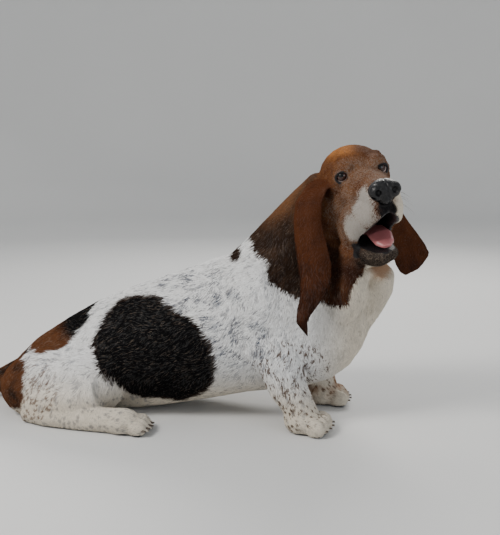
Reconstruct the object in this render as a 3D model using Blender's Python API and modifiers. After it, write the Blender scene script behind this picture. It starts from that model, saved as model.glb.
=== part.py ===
# A basset hound, life size, as a still model: it sits low with its hindquarters on the floor,
# props itself on its short forelegs and turns its head to its right.
#
# Units are metres, +Z is up and +X runs from tail to chest. The origin is on the floor, below
# the middle of the model. The whole body is modelled as overlapping forms that are fused into
# one surface, which thin cuts then divide into the parts a person would name.

import math

import bmesh
import bpy
from mathutils import Matrix, Vector

# Cuts, floor and fineness of the surface
GAP = 0.0003
SEAT = 0.00045
FLOOR_Z = 0.0
VOXEL = 0.0026
HEAD_TRIANGLES = 3000
REST_TRIANGLES = 3600
RING_SIDES = 28

# The trunk: upright sections from the buttocks to the forechest. Each has its place along the
# body, its sideways place, its lowest and highest point, and half its width.
TRUNK = (
    (-0.478, 0.000, 0.016, 0.036, 0.012),
    (-0.464, 0.000, -0.004, 0.060, 0.050),
    (-0.438, 0.000, -0.008, 0.086, 0.078),
    (-0.400, 0.000, -0.010, 0.123, 0.098),
    (-0.340, 0.000, -0.010, 0.162, 0.110),
    (-0.270, 0.000, -0.008, 0.202, 0.116),
    (-0.200, 0.000, -0.004, 0.229, 0.120),
    (-0.130, 0.000, 0.008, 0.252, 0.123),
    (-0.060, -0.002, 0.022, 0.279, 0.122),
    (0.000, -0.006, 0.036, 0.296, 0.119),
    (0.060, -0.012, 0.046, 0.300, 0.115),
    (0.110, -0.020, 0.056, 0.284, 0.107),
    (0.150, -0.028, 0.072, 0.260, 0.094),
    (0.182, -0.034, 0.098, 0.238, 0.076),
    (0.204, -0.038, 0.132, 0.218, 0.052),
    (0.215, -0.040, 0.162, 0.195, 0.022),
)
TRUNK_POWER = 2.15

# The neck from between the shoulders to the skull: centre, half width and half depth
NECK = (
    ((0.000, 0.000, 0.208), 0.094, 0.080),
    ((0.040, -0.008, 0.248), 0.090, 0.078),
    ((0.080, -0.018, 0.290), 0.082, 0.077),
    ((0.116, -0.032, 0.332), 0.076, 0.074),
    ((0.144, -0.048, 0.370), 0.069, 0.067),
    ((0.162, -0.060, 0.402), 0.060, 0.056),
)
# The dewlap: two folds of loose skin from the throat to the chest, with a crease between
DEWLAP_NEAR = (
    ((0.182, -0.112, 0.318), 0.020, 0.022),
    ((0.188, -0.120, 0.286), 0.024, 0.025),
    ((0.184, -0.118, 0.250), 0.026, 0.028),
    ((0.172, -0.104, 0.212), 0.025, 0.028),
    ((0.158, -0.088, 0.180), 0.020, 0.022),
)
DEWLAP_FAR = (
    ((0.222, -0.116, 0.304), 0.017, 0.018),
    ((0.232, -0.098, 0.272), 0.021, 0.023),
    ((0.229, -0.074, 0.240), 0.022, 0.025),
    ((0.214, -0.056, 0.205), 0.022, 0.024),
    ((0.198, -0.044, 0.170), 0.018, 0.020),
)
THROAT = ((0.176, -0.068, 0.256), (0.048, 0.048, 0.078), (0, 8, 0))

# The head sits on its own axes: +X along the muzzle, +Y to the dog's left and +Z to its crown,
# with the origin midway between the eyes
EYES_MIDPOINT = Vector((0.197, -0.125, 0.435))
HEAD_HEADING = math.radians(-74)
HEAD_PITCH = math.radians(-2)
HEAD_ROLL = math.radians(12)
EYE_SIDE = {-1: -0.0325, 1: 0.0288}
EYE_RADIUS = 0.0115
EYE_TURN = 15
LID = 0.0036
LID_OPENING = (0.0100, 0.0110, 0.0086)
LID_DROOP = 14

# Tubes of the head, each as (centre, half width, half height)
MUZZLE = (
    ((-0.030, 0, -0.026), 0.048, 0.042),
    ((0.005, 0, -0.028), 0.041, 0.037),
    ((0.040, 0, -0.028), 0.032, 0.031),
    ((0.070, 0, -0.029), 0.029, 0.028),
    ((0.096, 0, -0.030), 0.027, 0.026),
    ((0.108, 0, -0.031), 0.023, 0.024),
    ((0.114, 0, -0.032), 0.014, 0.016),
)
# The hanging lips. The far ones, on the dog's left, are drawn up by the turn of the head.
FLEW = {
    -1: (
        ((0.109, -0.006, -0.043), 0.009, 0.013),
        ((0.097, -0.017, -0.047), 0.011, 0.018),
        ((0.068, -0.027, -0.058), 0.011, 0.024),
        ((0.036, -0.035, -0.067), 0.011, 0.027),
        ((0.006, -0.038, -0.084), 0.011, 0.032),
        ((-0.024, -0.036, -0.096), 0.011, 0.034),
    ),
    1: (
        ((0.109, 0.006, -0.043), 0.009, 0.013),
        ((0.097, 0.017, -0.046), 0.011, 0.017),
        ((0.068, 0.024, -0.055), 0.011, 0.024),
        ((0.036, 0.027, -0.061), 0.011, 0.026),
        ((0.006, 0.027, -0.070), 0.011, 0.028),
        ((-0.024, 0.028, -0.088), 0.011, 0.032),
    ),
}
CHEEK_FOLD = {
    -1: (
        ((-0.030, -0.046, -0.014), 0.006, 0.008),
        ((-0.040, -0.048, -0.040), 0.007, 0.008),
        ((-0.026, -0.047, -0.074), 0.007, 0.009),
        ((-0.008, -0.044, -0.104), 0.008, 0.010),
        ((0.010, -0.036, -0.126), 0.008, 0.010),
    ),
    1: (
        ((-0.034, 0.044, -0.014), 0.006, 0.008),
        ((-0.044, 0.042, -0.040), 0.007, 0.008),
        ((-0.038, 0.037, -0.074), 0.007, 0.009),
        ((-0.026, 0.031, -0.104), 0.008, 0.010),
        ((-0.010, 0.024, -0.124), 0.008, 0.010),
    ),
}
# Loose skin that hangs between the cheek and the ear. The turn of the head draws the near one,
# on the dog's right, forward.
JOWL_FOLD = {
    -1: (
        ((-0.050, -0.043, 0.000), 0.010, 0.011),
        ((-0.048, -0.047, -0.022), 0.011, 0.011),
        ((-0.046, -0.049, -0.047), 0.011, 0.012),
        ((-0.044, -0.050, -0.072), 0.012, 0.012),
        ((-0.040, -0.049, -0.099), 0.012, 0.012),
        ((-0.034, -0.047, -0.124), 0.012, 0.012),
        ((-0.024, -0.042, -0.144), 0.010, 0.010),
    ),
    1: (
        ((-0.052, 0.040, -0.006), 0.009, 0.010),
        ((-0.060, 0.040, -0.040), 0.010, 0.011),
        ((-0.060, 0.039, -0.082), 0.010, 0.011),
        ((-0.056, 0.039, -0.124), 0.010, 0.011),
        ((-0.048, 0.034, -0.154), 0.010, 0.010),
    ),
}
# The thick front edge of each ear's root
EAR_ROOT = {
    -1: (
        ((-0.062, -0.040, 0.012), 0.010, 0.010),
        ((-0.064, -0.048, -0.002), 0.011, 0.011),
        ((-0.065, -0.055, -0.022), 0.012, 0.012),
        ((-0.066, -0.058, -0.047), 0.012, 0.012),
        ((-0.069, -0.056, -0.074), 0.009, 0.010),
    ),
    1: (
        ((-0.060, 0.040, 0.020), 0.012, 0.012),
        ((-0.067, 0.047, 0.004), 0.013, 0.013),
        ((-0.071, 0.048, -0.022), 0.013, 0.013),
        ((-0.072, 0.047, -0.050), 0.012, 0.012),
        ((-0.072, 0.044, -0.080), 0.009, 0.010),
    ),
}
JAW = (
    ((-0.050, -0.002, -0.100), 0.036, 0.026),
    ((-0.010, -0.004, -0.112), 0.035, 0.022),
    ((0.030, -0.006, -0.123), 0.030, 0.0145),
    ((0.058, -0.005, -0.126), 0.026, 0.0125),
    ((0.074, -0.005, -0.125), 0.018, 0.010),
    ((0.081, -0.005, -0.124), 0.008, 0.006),
)
MOUTH = ((0.048, -0.002, -0.088), (0.074, 0.021, 0.025))
TONGUE = (
    ((-0.010, 0.000, -0.100), 0.014, 0.007),
    ((0.014, 0.001, -0.094), 0.016, 0.009),
    ((0.042, 0.001, -0.098), 0.018, 0.008),
    ((0.062, 0.000, -0.106), 0.015, 0.006),
    ((0.071, 0.000, -0.111), 0.007, 0.003),
)
NOSE_VOXEL = 0.0011
NOSE_TRIANGLES = 480
NOSE_AT = Vector((0.0, -0.002, 0.003))
NOSE = (
    ((0.111, 0.000, -0.021), (0.018, 0.0235, 0.0165)),
    ((0.119, 0.013, -0.022), (0.0105, 0.0112, 0.0125)),
    ((0.119, -0.013, -0.022), (0.0105, 0.0112, 0.0125)),
    ((0.114, 0.000, -0.034), (0.0125, 0.0100, 0.0090)),
)
NOSTRIL = ((0.131, 0.0135, -0.0225), (0.0085, 0.0052, 0.0060), (0, 0, 22))
NOSTRIL_SLIT = ((0.124, 0.0215, -0.0290), (0.0085, 0.0050, 0.0022), (28, 0, 30))

# Toes and claws
FOREPAW = (0.088, 0.072, 0.048)
HINDPAW = (0.084, 0.062, 0.042)
CLAW = (0.0034, 0.0014, 0.014)
HINDPAW_PLACE = (-0.190, 0.164, 0.0)
HINDPAW_HEADING = -4
FORELEG = {
    -1: {
        "masses": (
            ((0.036, -0.086, 0.190), (0.062, 0.044, 0.100), (0, -25, 0)),
            ((0.050, -0.104, 0.132), (0.056, 0.032, 0.040), (0, 25, 0)),
        ),
        "bone": (
            ((0.056, -0.100, 0.150), 0.033, 0.044),
            ((0.068, -0.110, 0.106), 0.031, 0.038),
            ((0.080, -0.113, 0.074), 0.028, 0.034),
            ((0.096, -0.115, 0.048), 0.027, 0.028),
            ((0.106, -0.117, 0.026), 0.027, 0.028),
        ),
        "paw": (0.109, -0.119, 0.0),
        "heading": -10,
    },
    1: {
        "masses": (
            ((0.045, 0.070, 0.190), (0.062, 0.044, 0.100), (0, -25, 0)),
            ((0.066, 0.072, 0.125), (0.056, 0.032, 0.040), (0, 25, 0)),
        ),
        "bone": (
            ((0.076, 0.062, 0.150), 0.033, 0.044),
            ((0.094, 0.062, 0.106), 0.031, 0.038),
            ((0.112, 0.058, 0.074), 0.028, 0.034),
            ((0.126, 0.052, 0.048), 0.027, 0.028),
            ((0.132, 0.049, 0.026), 0.027, 0.028),
        ),
        "paw": (0.135, 0.046, 0.0),
        "heading": 4,
    },
}

# Where the body is parted: a point of each cut and the way it faces, or a box round the limb
SIDES = ((-1, "right"), (1, "left"))
JAW_BOX = ((0.053, 0.0, -0.127), (0.178, 0.16, 0.052))
HEAD_CUT = ((0.150, -0.050, 0.370), (0.45, -0.55, 0.70))
NECK_CUT = ((0.100, 0.000, 0.261), (0.353, 0.0, 0.936))
TAIL_CUT = ((-0.484, 0.0, 0.0), (-1.0, 0.0, 0.0))
FORELEG_CUT = {
    -1: ((0.085, -0.178, 0.050), (0.190, 0.160, 0.170), (12, 0, 0)),
    1: ((0.124, 0.108, 0.016), (0.160, 0.200, 0.170), (33, 0, 0)),
}
FOREPAW_CUT = {
    -1: ((0.104, -0.117, 0.040), (0.375, 0.0, -0.927)),
    1: ((0.130, 0.049, 0.040), (0.375, 0.0, -0.927)),
}
HINDLEG_BOX = (0.34, 0.16, 0.150)
HINDLEG_TURN = 12
HINDLEG_CUT = (-0.300, 0.180, 0.055)
HINDPAW_CUT = ((-0.207, 0.0, 0.0), (1.0, 0.0, 0.0))

# Colour and roughness of each kind of part
LOOKS = {
    "torso": ((0.62, 0.60, 0.57), 0.80),
    "neck": ((0.20, 0.095, 0.045), 0.80),
    "head": ((0.30, 0.135, 0.055), 0.78),
    "jaw": ((0.10, 0.075, 0.060), 0.70),
    "ear": ((0.155, 0.055, 0.028), 0.72),
    "eye": ((0.050, 0.020, 0.010), 0.08),
    "nose": ((0.012, 0.012, 0.014), 0.35),
    "tongue": ((0.55, 0.20, 0.20), 0.35),
    "tail": ((0.50, 0.47, 0.43), 0.80),
    "foreleg": ((0.60, 0.57, 0.52), 0.80),
    "forepaw": ((0.58, 0.55, 0.50), 0.80),
    "hindleg": ((0.62, 0.60, 0.57), 0.80),
    "hindpaw": ((0.58, 0.55, 0.50), 0.80),
}
ORIGIN_SHIFT = Vector((0.187, 0.029, 0.0))

# The ears as curved leaves. Each station has its centre, the direction across the leaf, the
# way its outer face looks, half its width, and how far its edges curl in.
EAR_SPAN = 10
EAR_THICK = 0.0072
EAR_STATIONS = 15
EAR = {
    -1: (
        ((0.150, -0.090, 0.424), (0.70, -0.70, 0.10), (-0.6, -0.7, 0.3), 0.024, 0.002),
        ((0.130, -0.103, 0.414), (0.70, -0.65, 0.10), (-0.6, -0.7, 0.5), 0.026, -0.002),
        ((0.113, -0.123, 0.392), (0.85, -0.45, 0.00), (-0.4, -0.9, 0.3), 0.026, -0.006),
        ((0.110, -0.137, 0.352), (0.90, -0.35, 0.00), (-0.3, -1.0, 0.1), 0.026, -0.010),
        ((0.119, -0.146, 0.304), (0.92, -0.30, 0.00), (-0.3, -1.0, 0.0), 0.030, -0.012),
        ((0.125, -0.151, 0.262), (0.95, -0.25, 0.00), (-0.2, -1.0, 0.0), 0.028, -0.012),
        ((0.117, -0.152, 0.230), (0.97, -0.20, -0.12), (-0.2, -1.0, 0.0), 0.0185, -0.008),
        ((0.106, -0.152, 0.204), (0.98, -0.15, -0.15), (-0.1, -1.0, 0.0), 0.0115, -0.004),
        ((0.106, -0.151, 0.190), (0.97, -0.10, -0.20), (-0.1, -1.0, 0.0), 0.0112, -0.003),
        ((0.112, -0.150, 0.178), (0.90, -0.10, -0.40), (-0.1, -1.0, 0.0), 0.006, 0.000),
        ((0.116, -0.149, 0.170), (0.90, -0.10, -0.40), (-0.1, -1.0, 0.0), 0.002, 0.000),
    ),
    1: (
        ((0.214, -0.070, 0.428), (0.10, 0.95, 0.10), (1.0, -0.2, 0.3), 0.024, 0.002),
        ((0.234, -0.062, 0.414), (0.15, 0.95, 0.00), (0.9, -0.2, 0.6), 0.026, -0.002),
        ((0.247, -0.048, 0.392), (0.30, 0.90, 0.00), (1.0, -0.3, 0.2), 0.027, -0.005),
        ((0.258, -0.026, 0.360), (0.45, 0.85, 0.00), (0.9, -0.5, 0.2), 0.030, -0.008),
        ((0.272, 0.004, 0.326), (0.75, 0.60, 0.10), (0.5, -0.8, 0.4), 0.032, -0.008),
        ((0.285, 0.030, 0.292), (0.90, 0.30, 0.20), (0.3, -0.9, 0.4), 0.034, -0.007),
        ((0.293, 0.044, 0.268), (0.85, 0.30, 0.40), (0.2, -0.9, 0.4), 0.032, -0.004),
        ((0.290, 0.050, 0.250), (0.85, 0.30, 0.40), (0.2, -0.9, 0.4), 0.014, 0.000),
    ),
}


def head_matrix():
    """Where the head's own axes lie in the dog's."""
    turn = Matrix.Rotation(HEAD_HEADING, 4, "Z")
    nod = Matrix.Rotation(-HEAD_PITCH, 4, "Y")
    tilt = Matrix.Rotation(HEAD_ROLL, 4, "X")
    return Matrix.Translation(EYES_MIDPOINT) @ turn @ nod @ tilt


HEAD = head_matrix()
NOSE_PLACE = HEAD @ Matrix.Translation(NOSE_AT)
BODY = Matrix.Identity(4)


def superellipse(angle, power):
    """A point of a rounded section, one unit in half width and height."""
    c = math.cos(angle)
    s = math.sin(angle)
    grow = 2.0 / power
    return math.copysign(abs(c) ** grow, c), math.copysign(abs(s) ** grow, s)


def skin_rings(bm, rings):
    """Joins rings of points, one after another, and closes both ends."""
    loops = [[bm.verts.new(p) for p in ring] for ring in rings]
    count = len(loops[0])
    for a, b in zip(loops, loops[1:]):
        for i in range(count):
            j = (i + 1) % count
            bm.faces.new((a[i], a[j], b[j], b[i]))
    bm.faces.new(reversed(loops[0]))
    bm.faces.new(loops[-1])


def add_trunk(bm):
    rings = []
    for x, y, low, high, half in TRUNK:
        mid = (low + high) / 2
        tall = (high - low) / 2
        ring = []
        for i in range(RING_SIDES):
            across, up = superellipse(2 * math.pi * i / RING_SIDES, TRUNK_POWER)
            ring.append(Vector((x, y + half * across, mid + tall * up)))
        rings.append(ring)
    skin_rings(bm, rings)


def add_tube(bm, stations, place=BODY, up=Vector((0, 0, 1)), power=2.0):
    """A limb or fold: stations are (centre, half width, half depth) along its length."""
    centres = [Vector(s[0]) for s in stations]
    rings = []
    for n, (centre, wide, deep) in enumerate(stations):
        ahead = centres[min(n + 1, len(centres) - 1)] - centres[max(n - 1, 0)]
        ahead.normalize()
        side = up.cross(ahead).normalized()
        top = ahead.cross(side).normalized()
        ring = []
        for i in range(RING_SIDES):
            across, high = superellipse(2 * math.pi * i / RING_SIDES, power)
            ring.append(place @ (Vector(centre) + side * wide * across + top * deep * high))
        rings.append(ring)
    skin_rings(bm, rings)


def turned(degrees):
    spin = Matrix.Identity(4)
    for angle, axis in zip(degrees, "XYZ"):
        spin = Matrix.Rotation(math.radians(angle), 4, axis) @ spin
    return spin


def add_ellipsoid(bm, centre, radii, turn=(0, 0, 0), place=BODY, detail=3):
    """A rounded mass: radii along its own axes, turned by degrees about X, then Y, then Z."""
    matrix = place @ Matrix.Translation(Vector(centre)) @ turned(turn)
    matrix = matrix @ Matrix.Diagonal((*radii, 1))
    bmesh.ops.create_icosphere(bm, subdivisions=detail, radius=1, matrix=matrix)


def mirrored(point, side):
    return (point[0], point[1] * side, point[2])


def paw_place(centre, heading):
    return Matrix.Translation(Vector(centre)) @ Matrix.Rotation(math.radians(heading), 4, "Z")


def toes(size):
    """The four toes of a paw: how far each turns out, and its centre."""
    length, width, height = size
    for n in range(4):
        fan = (n - 1.5) / 1.5
        reach = length * 0.34 * (1 - 0.16 * abs(fan))
        yield fan, Vector((reach, width * 0.35 * fan, height * 0.30))


def add_paw(bm, centre, heading, size):
    """A paw flat on the floor: the pad's body, and four toes that fan out from it."""
    length, width, height = size
    place = paw_place(centre, heading)
    body = (length * 0.36, width * 0.46, height * 0.56)
    add_ellipsoid(bm, (-length * 0.04, 0, height * 0.42), body, place=place)
    for fan, toe in toes(size):
        radii = (length * 0.21, width * 0.150, height * 0.36)
        add_ellipsoid(bm, toe, radii, (0, 8, 10 * fan), place)


def claws(centre, heading, size):
    """The blunt claws of one paw, as cones that lean down from the toes."""
    bm = bmesh.new()
    length, width, height = size
    for fan, toe in toes(size):
        tip = toe + Vector((length * 0.20, 0, -height * 0.02))
        lean = Matrix.Translation(tip) @ turned((0, 112, 10 * fan))
        bmesh.ops.create_cone(bm, cap_ends=True, segments=6, radius1=CLAW[0], radius2=CLAW[1],
                              depth=CLAW[2], matrix=paw_place(centre, heading) @ lean)
    return object_from(bm, "claws")


def add_foreleg(bm, side):
    """Shoulder, upper arm, forearm, wrist and paw of one foreleg; side is -1 for the right."""
    leg = FORELEG[side]
    for centre, radii, turn in leg["masses"]:
        add_ellipsoid(bm, centre, radii, turn)
    add_tube(bm, leg["bone"], up=Vector((1, 0, 0.3)))
    add_paw(bm, leg["paw"], leg["heading"], FOREPAW)


def add_hindleg(bm, side):
    """Thigh, knee, folded shank, hock and paw of one hind leg."""
    s = side
    add_ellipsoid(bm, (-0.338, 0.080 * s, 0.054), (0.104, 0.062, 0.070), (0, -4, -8 * s))
    add_ellipsoid(bm, (-0.280, 0.106 * s, 0.062), (0.072, 0.046, 0.056), (0, 10, -10 * s))
    shank = (
        ((-0.244, 0.134 * s, 0.056), 0.030, 0.034),
        ((-0.290, 0.140 * s, 0.044), 0.029, 0.033),
        ((-0.340, 0.136 * s, 0.034), 0.025, 0.029),
        ((-0.376, 0.128 * s, 0.026), 0.019, 0.023),
    )
    add_tube(bm, shank)
    foot = (
        ((-0.378, 0.130 * s, 0.020), 0.019, 0.023),
        ((-0.330, 0.145 * s, 0.016), 0.022, 0.022),
        ((-0.270, 0.155 * s, 0.016), 0.023, 0.021),
        ((-0.205, 0.162 * s, 0.018), 0.024, 0.022),
    )
    add_tube(bm, foot)
    add_paw(bm, mirrored(HINDPAW_PLACE, s), HINDPAW_HEADING * s, HINDPAW)


def add_tail(bm):
    stations = (
        ((-0.420, 0.000, 0.058), 0.036, 0.032),
        ((-0.462, 0.001, 0.040), 0.028, 0.026),
        ((-0.505, 0.005, 0.022), 0.021, 0.021),
        ((-0.555, 0.016, 0.014), 0.017, 0.017),
        ((-0.605, 0.036, 0.012), 0.0145, 0.0145),
        ((-0.648, 0.064, 0.010), 0.012, 0.012),
        ((-0.678, 0.098, 0.008), 0.009, 0.0095),
        ((-0.690, 0.124, 0.006), 0.005, 0.006),
    )
    add_tube(bm, stations)


def add_neck(bm):
    add_tube(bm, NECK)
    add_tube(bm, DEWLAP_NEAR, up=Vector((1, 0, 0)))
    add_tube(bm, DEWLAP_FAR, up=Vector((1, 0, 0)))
    add_ellipsoid(bm, *THROAT)


def add_head(bm):
    """Skull, muzzle, cheeks, brows and hanging lips, in the head's own axes."""
    add_ellipsoid(bm, (-0.060, 0.000, -0.008), (0.070, 0.055, 0.050), place=HEAD)
    add_ellipsoid(bm, (-0.112, 0.000, 0.014), (0.022, 0.016, 0.017), place=HEAD)
    add_ellipsoid(bm, (-0.040, 0.000, -0.068), (0.056, 0.040, 0.048), place=HEAD)
    add_tube(bm, MUZZLE, place=HEAD, power=2.3)
    add_tube(bm, JAW, place=HEAD, power=2.3)
    add_ellipsoid(bm, (0.016, -0.004, -0.131), (0.036, 0.027, 0.020), place=HEAD)
    for s in (-1, 1):
        brow = (-0.010, 0.025 * s, 0.013)
        add_ellipsoid(bm, brow, (0.024, 0.019, 0.010), (0, 12, 12 * s), HEAD)
        add_ellipsoid(bm, (-0.014, 0.024 * s, -0.008), (0.027, 0.022, 0.024), place=HEAD)
        add_ellipsoid(bm, (0.012, 0.026 * s, -0.032), (0.036, 0.016, 0.024), place=HEAD)
        add_ellipsoid(bm, (-0.036, 0.034 * s, -0.012), (0.038, 0.019, 0.026), place=HEAD)
        add_ellipsoid(bm, (-0.030, 0.030 * s, -0.052), (0.042, 0.019, 0.044), (0, 0, -6 * s), HEAD)
        add_ellipsoid(bm, eye_centre(s), (EYE_RADIUS + LID,) * 3, place=HEAD)
        add_tube(bm, FLEW[s], place=HEAD)
        add_tube(bm, CHEEK_FOLD[s], place=HEAD)
        add_tube(bm, JOWL_FOLD[s], HEAD, Vector((1, 0, 0)))
        add_tube(bm, EAR_ROOT[s], HEAD, Vector((1, 0, 0)))


def smooth_stations(stations, count):
    """Stations of an ear at even steps along a smooth curve through the given ones."""
    rows = [[*a, *b, *c, d, e] for a, b, c, d, e in stations]
    out = []
    for n in range(count):
        t = n / (count - 1) * (len(rows) - 1)
        k = min(int(t), len(rows) - 2)
        f = t - k
        p0, p1, p2, p3 = (rows[max(0, min(len(rows) - 1, k + d))] for d in (-1, 0, 1, 2))
        row = []
        for a, b, c, d in zip(p0, p1, p2, p3):
            bend = (2 * a - 5 * b + 4 * c - d) * f * f + (3 * b - a - 3 * c + d) * f ** 3
            row.append(b + 0.5 * ((c - a) * f + bend))
        out.append(row)
    return out


def add_ear(bm, side):
    """An ear as a thick curved leaf that hangs from low on the skull."""
    rings = []
    for row in smooth_stations(EAR[side], EAR_STATIONS):
        centre = Vector(row[0:3])
        across = Vector(row[3:6]).normalized()
        facing = Vector(row[6:9])
        facing = (facing - across * facing.dot(across)).normalized()
        half = max(row[9], 0.002)
        curl = row[10]
        ring = []
        for face in (1, -1):
            for i in range(EAR_SPAN + 1):
                t = (i / EAR_SPAN * 2 - 1) * face
                thick = EAR_THICK / 2 * (1 - 0.7 * t ** 6)
                bend = curl * (t * t - 0.35)
                ring.append(centre + across * half * t + facing * (bend + face * thick))
        rings.append(ring)
    skin_rings(bm, rings)


def object_from(bm, name):
    bmesh.ops.recalc_face_normals(bm, faces=bm.faces)
    mesh = bpy.data.meshes.new(name)
    bm.to_mesh(mesh)
    bm.free()
    obj = bpy.data.objects.new(name, mesh)
    bpy.context.scene.collection.objects.link(obj)
    return obj


def applied(obj):
    """The object with its modifiers made real."""
    bpy.context.view_layer.update()
    graph = bpy.context.evaluated_depsgraph_get()
    mesh = bpy.data.meshes.new_from_object(obj.evaluated_get(graph))
    obj.modifiers.clear()
    old = obj.data
    obj.data = mesh
    bpy.data.meshes.remove(old)
    return obj


def volume(obj):
    """The space inside a closed mesh, or 0 where it isn't closed."""
    bm = bmesh.new()
    bm.from_mesh(obj.data)
    closed = bool(bm.edges) and all(e.is_manifold for e in bm.edges)
    space = bm.calc_volume() if closed else 0.0
    bm.free()
    return space


def boolean(obj, operation, cutter):
    """Cuts or joins two solids, with the second solver where the first loses the piece."""
    before = volume(obj)
    tool = volume(cutter)
    least = {"DIFFERENCE": before - tool, "UNION": before, "INTERSECT": 0.0}[operation]
    original = obj.data.copy()
    for solver in ("EXACT", "MANIFOLD"):
        step = obj.modifiers.new(operation.lower(), "BOOLEAN")
        step.operation = operation
        step.object = cutter
        step.solver = solver
        applied(obj)
        if volume(obj) > least * 0.98 + 1e-9 and volume(obj) < before + tool:
            break
        obj.data = original.copy()
    return obj


def discard(obj):
    mesh = obj.data
    bpy.data.objects.remove(obj)
    bpy.data.meshes.remove(mesh)


def copy_of(obj, name):
    new = bpy.data.objects.new(name, obj.data.copy())
    bpy.context.scene.collection.objects.link(new)
    return new


def largest_shell(obj):
    """Keeps only the largest closed surface of a mesh."""
    bm = bmesh.new()
    bm.from_mesh(obj.data)
    waiting = set(bm.verts)
    shells = []
    while waiting:
        start = waiting.pop()
        shell = {start}
        edge = [start]
        while edge:
            vert = edge.pop()
            for link in vert.link_edges:
                other = link.other_vert(vert)
                if other not in shell:
                    shell.add(other)
                    edge.append(other)
        waiting -= shell
        shells.append(shell)
    if len(shells) > 1:
        keep = max(shells, key=len)
        gone = [v for v in bm.verts if v not in keep]
        bmesh.ops.delete(bm, geom=gone, context="VERTS")
        bm.to_mesh(obj.data)
    bm.free()
    return obj


def box(name, centre, size, turn=(0, 0, 0), place=BODY, grow=0.0):
    bm = bmesh.new()
    sides = [s + 2 * grow for s in size]
    matrix = place @ Matrix.Translation(Vector(centre)) @ turned(turn)
    bmesh.ops.create_cube(bm, size=1, matrix=matrix @ Matrix.Diagonal((*sides, 1)))
    return object_from(bm, name)


def decimated(obj, group, ratio):
    thin = obj.modifiers.new("thin", "DECIMATE")
    thin.ratio = ratio
    thin.vertex_group = group
    return applied(obj)


def on_head(point):
    p = HEAD.inverted() @ point
    return -0.10 < p.x and abs(p.y) < 0.075 and -0.155 < p.z < 0.075


def fused_body():
    bm = bmesh.new()
    add_trunk(bm)
    add_neck(bm)
    add_head(bm)
    add_tail(bm)
    for side in (-1, 1):
        add_foreleg(bm, side)
        add_hindleg(bm, side)
    body = object_from(bm, "body")
    fuse = body.modifiers.new("fuse", "REMESH")
    fuse.mode = "VOXEL"
    fuse.voxel_size = VOXEL
    applied(body)
    head = body.vertex_groups.new(name="head")
    rest = body.vertex_groups.new(name="rest")
    for vert in body.data.vertices:
        group = head if on_head(vert.co) else rest
        group.add([vert.index], 1.0, "REPLACE")
    soften = body.modifiers.new("soften", "SMOOTH")
    soften.factor = 0.5
    soften.iterations = 16
    soften.vertex_group = "rest"
    soften = body.modifiers.new("soften_all", "SMOOTH")
    soften.factor = 0.5
    soften.iterations = 5
    applied(body)
    return body


def eye_centre(side):
    return (0.0, EYE_SIDE[side], 0.0)


def mouth_cutter():
    bm = bmesh.new()
    add_ellipsoid(bm, *MOUTH, place=HEAD)
    return object_from(bm, "mouth")


def eyeball(side):
    bm = bmesh.new()
    matrix = HEAD @ Matrix.Translation(Vector(eye_centre(side))) @ turned((0, 90, EYE_TURN * side))
    bmesh.ops.create_uvsphere(bm, u_segments=16, v_segments=10, radius=EYE_RADIUS, matrix=matrix)
    return object_from(bm, "eye_left" if side > 0 else "eye_right")


def lid_opening(side):
    """The almond between the lids, turned outward with the eye and drooping at its outer end."""
    look = turned((-LID_DROOP * side, 0, EYE_TURN * side))
    place = HEAD @ Matrix.Translation(Vector(eye_centre(side))) @ look
    bm = bmesh.new()
    add_ellipsoid(bm, (0.0125, 0, -0.0005), LID_OPENING, place=place)
    return object_from(bm, "lid_opening")


def remeshed(obj, voxel, rounds):
    fuse = obj.modifiers.new("fuse", "REMESH")
    fuse.mode = "VOXEL"
    fuse.voxel_size = voxel
    soften = obj.modifiers.new("soften", "SMOOTH")
    soften.factor = 0.5
    soften.iterations = rounds
    return applied(obj)


def nose_leather():
    """The black leather of the nose, with round wings."""
    bm = bmesh.new()
    for centre, radii in NOSE:
        add_ellipsoid(bm, centre, radii, place=NOSE_PLACE)
    nose = object_from(bm, "nose")
    remeshed(nose, NOSE_VOXEL, 4)
    thin = nose.modifiers.new("thin", "DECIMATE")
    thin.ratio = NOSE_TRIANGLES / sum(len(p.vertices) - 2 for p in nose.data.polygons)
    return applied(nose)


def cut_nostrils(nose):
    for side in (-1, 1):
        for centre, radii, turn in (NOSTRIL, NOSTRIL_SLIT):
            bm = bmesh.new()
            spin = (turn[0] * side, turn[1], turn[2] * side)
            add_ellipsoid(bm, mirrored(centre, side), radii, spin, NOSE_PLACE, 2)
            cutter = object_from(bm, "nostril")
            boolean(nose, "DIFFERENCE", cutter)
            discard(cutter)
    return nose


def tongue_form():
    bm = bmesh.new()
    add_tube(bm, TONGUE, place=HEAD, power=2.4)
    return object_from(bm, "tongue")


def ear_form(side):
    bm = bmesh.new()
    add_ear(bm, side)
    return object_from(bm, "ear_left" if side > 0 else "ear_right")


def carve(obj, cutter):
    boolean(obj, "DIFFERENCE", cutter)
    discard(cutter)
    return largest_shell(obj)


def carve_seat(obj, piece):
    """Cuts a close-fitting seat for a piece, swollen by a little more than the gap."""
    seat = copy_of(piece, "seat")
    for vert in seat.data.vertices:
        vert.co += vert.normal * SEAT
    return carve(obj, seat)


def split_off(rest, name, centre, size, turn=(0, 0, 0), place=BODY):
    """Parts a piece inside a box from the rest, with a thin gap at the box's faces."""
    piece = copy_of(rest, name)
    region = box("region", centre, size, turn, place)
    boolean(piece, "INTERSECT", region)
    discard(region)
    largest_shell(piece)
    carve(rest, box("region", centre, size, turn, place, GAP))
    return piece


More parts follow.
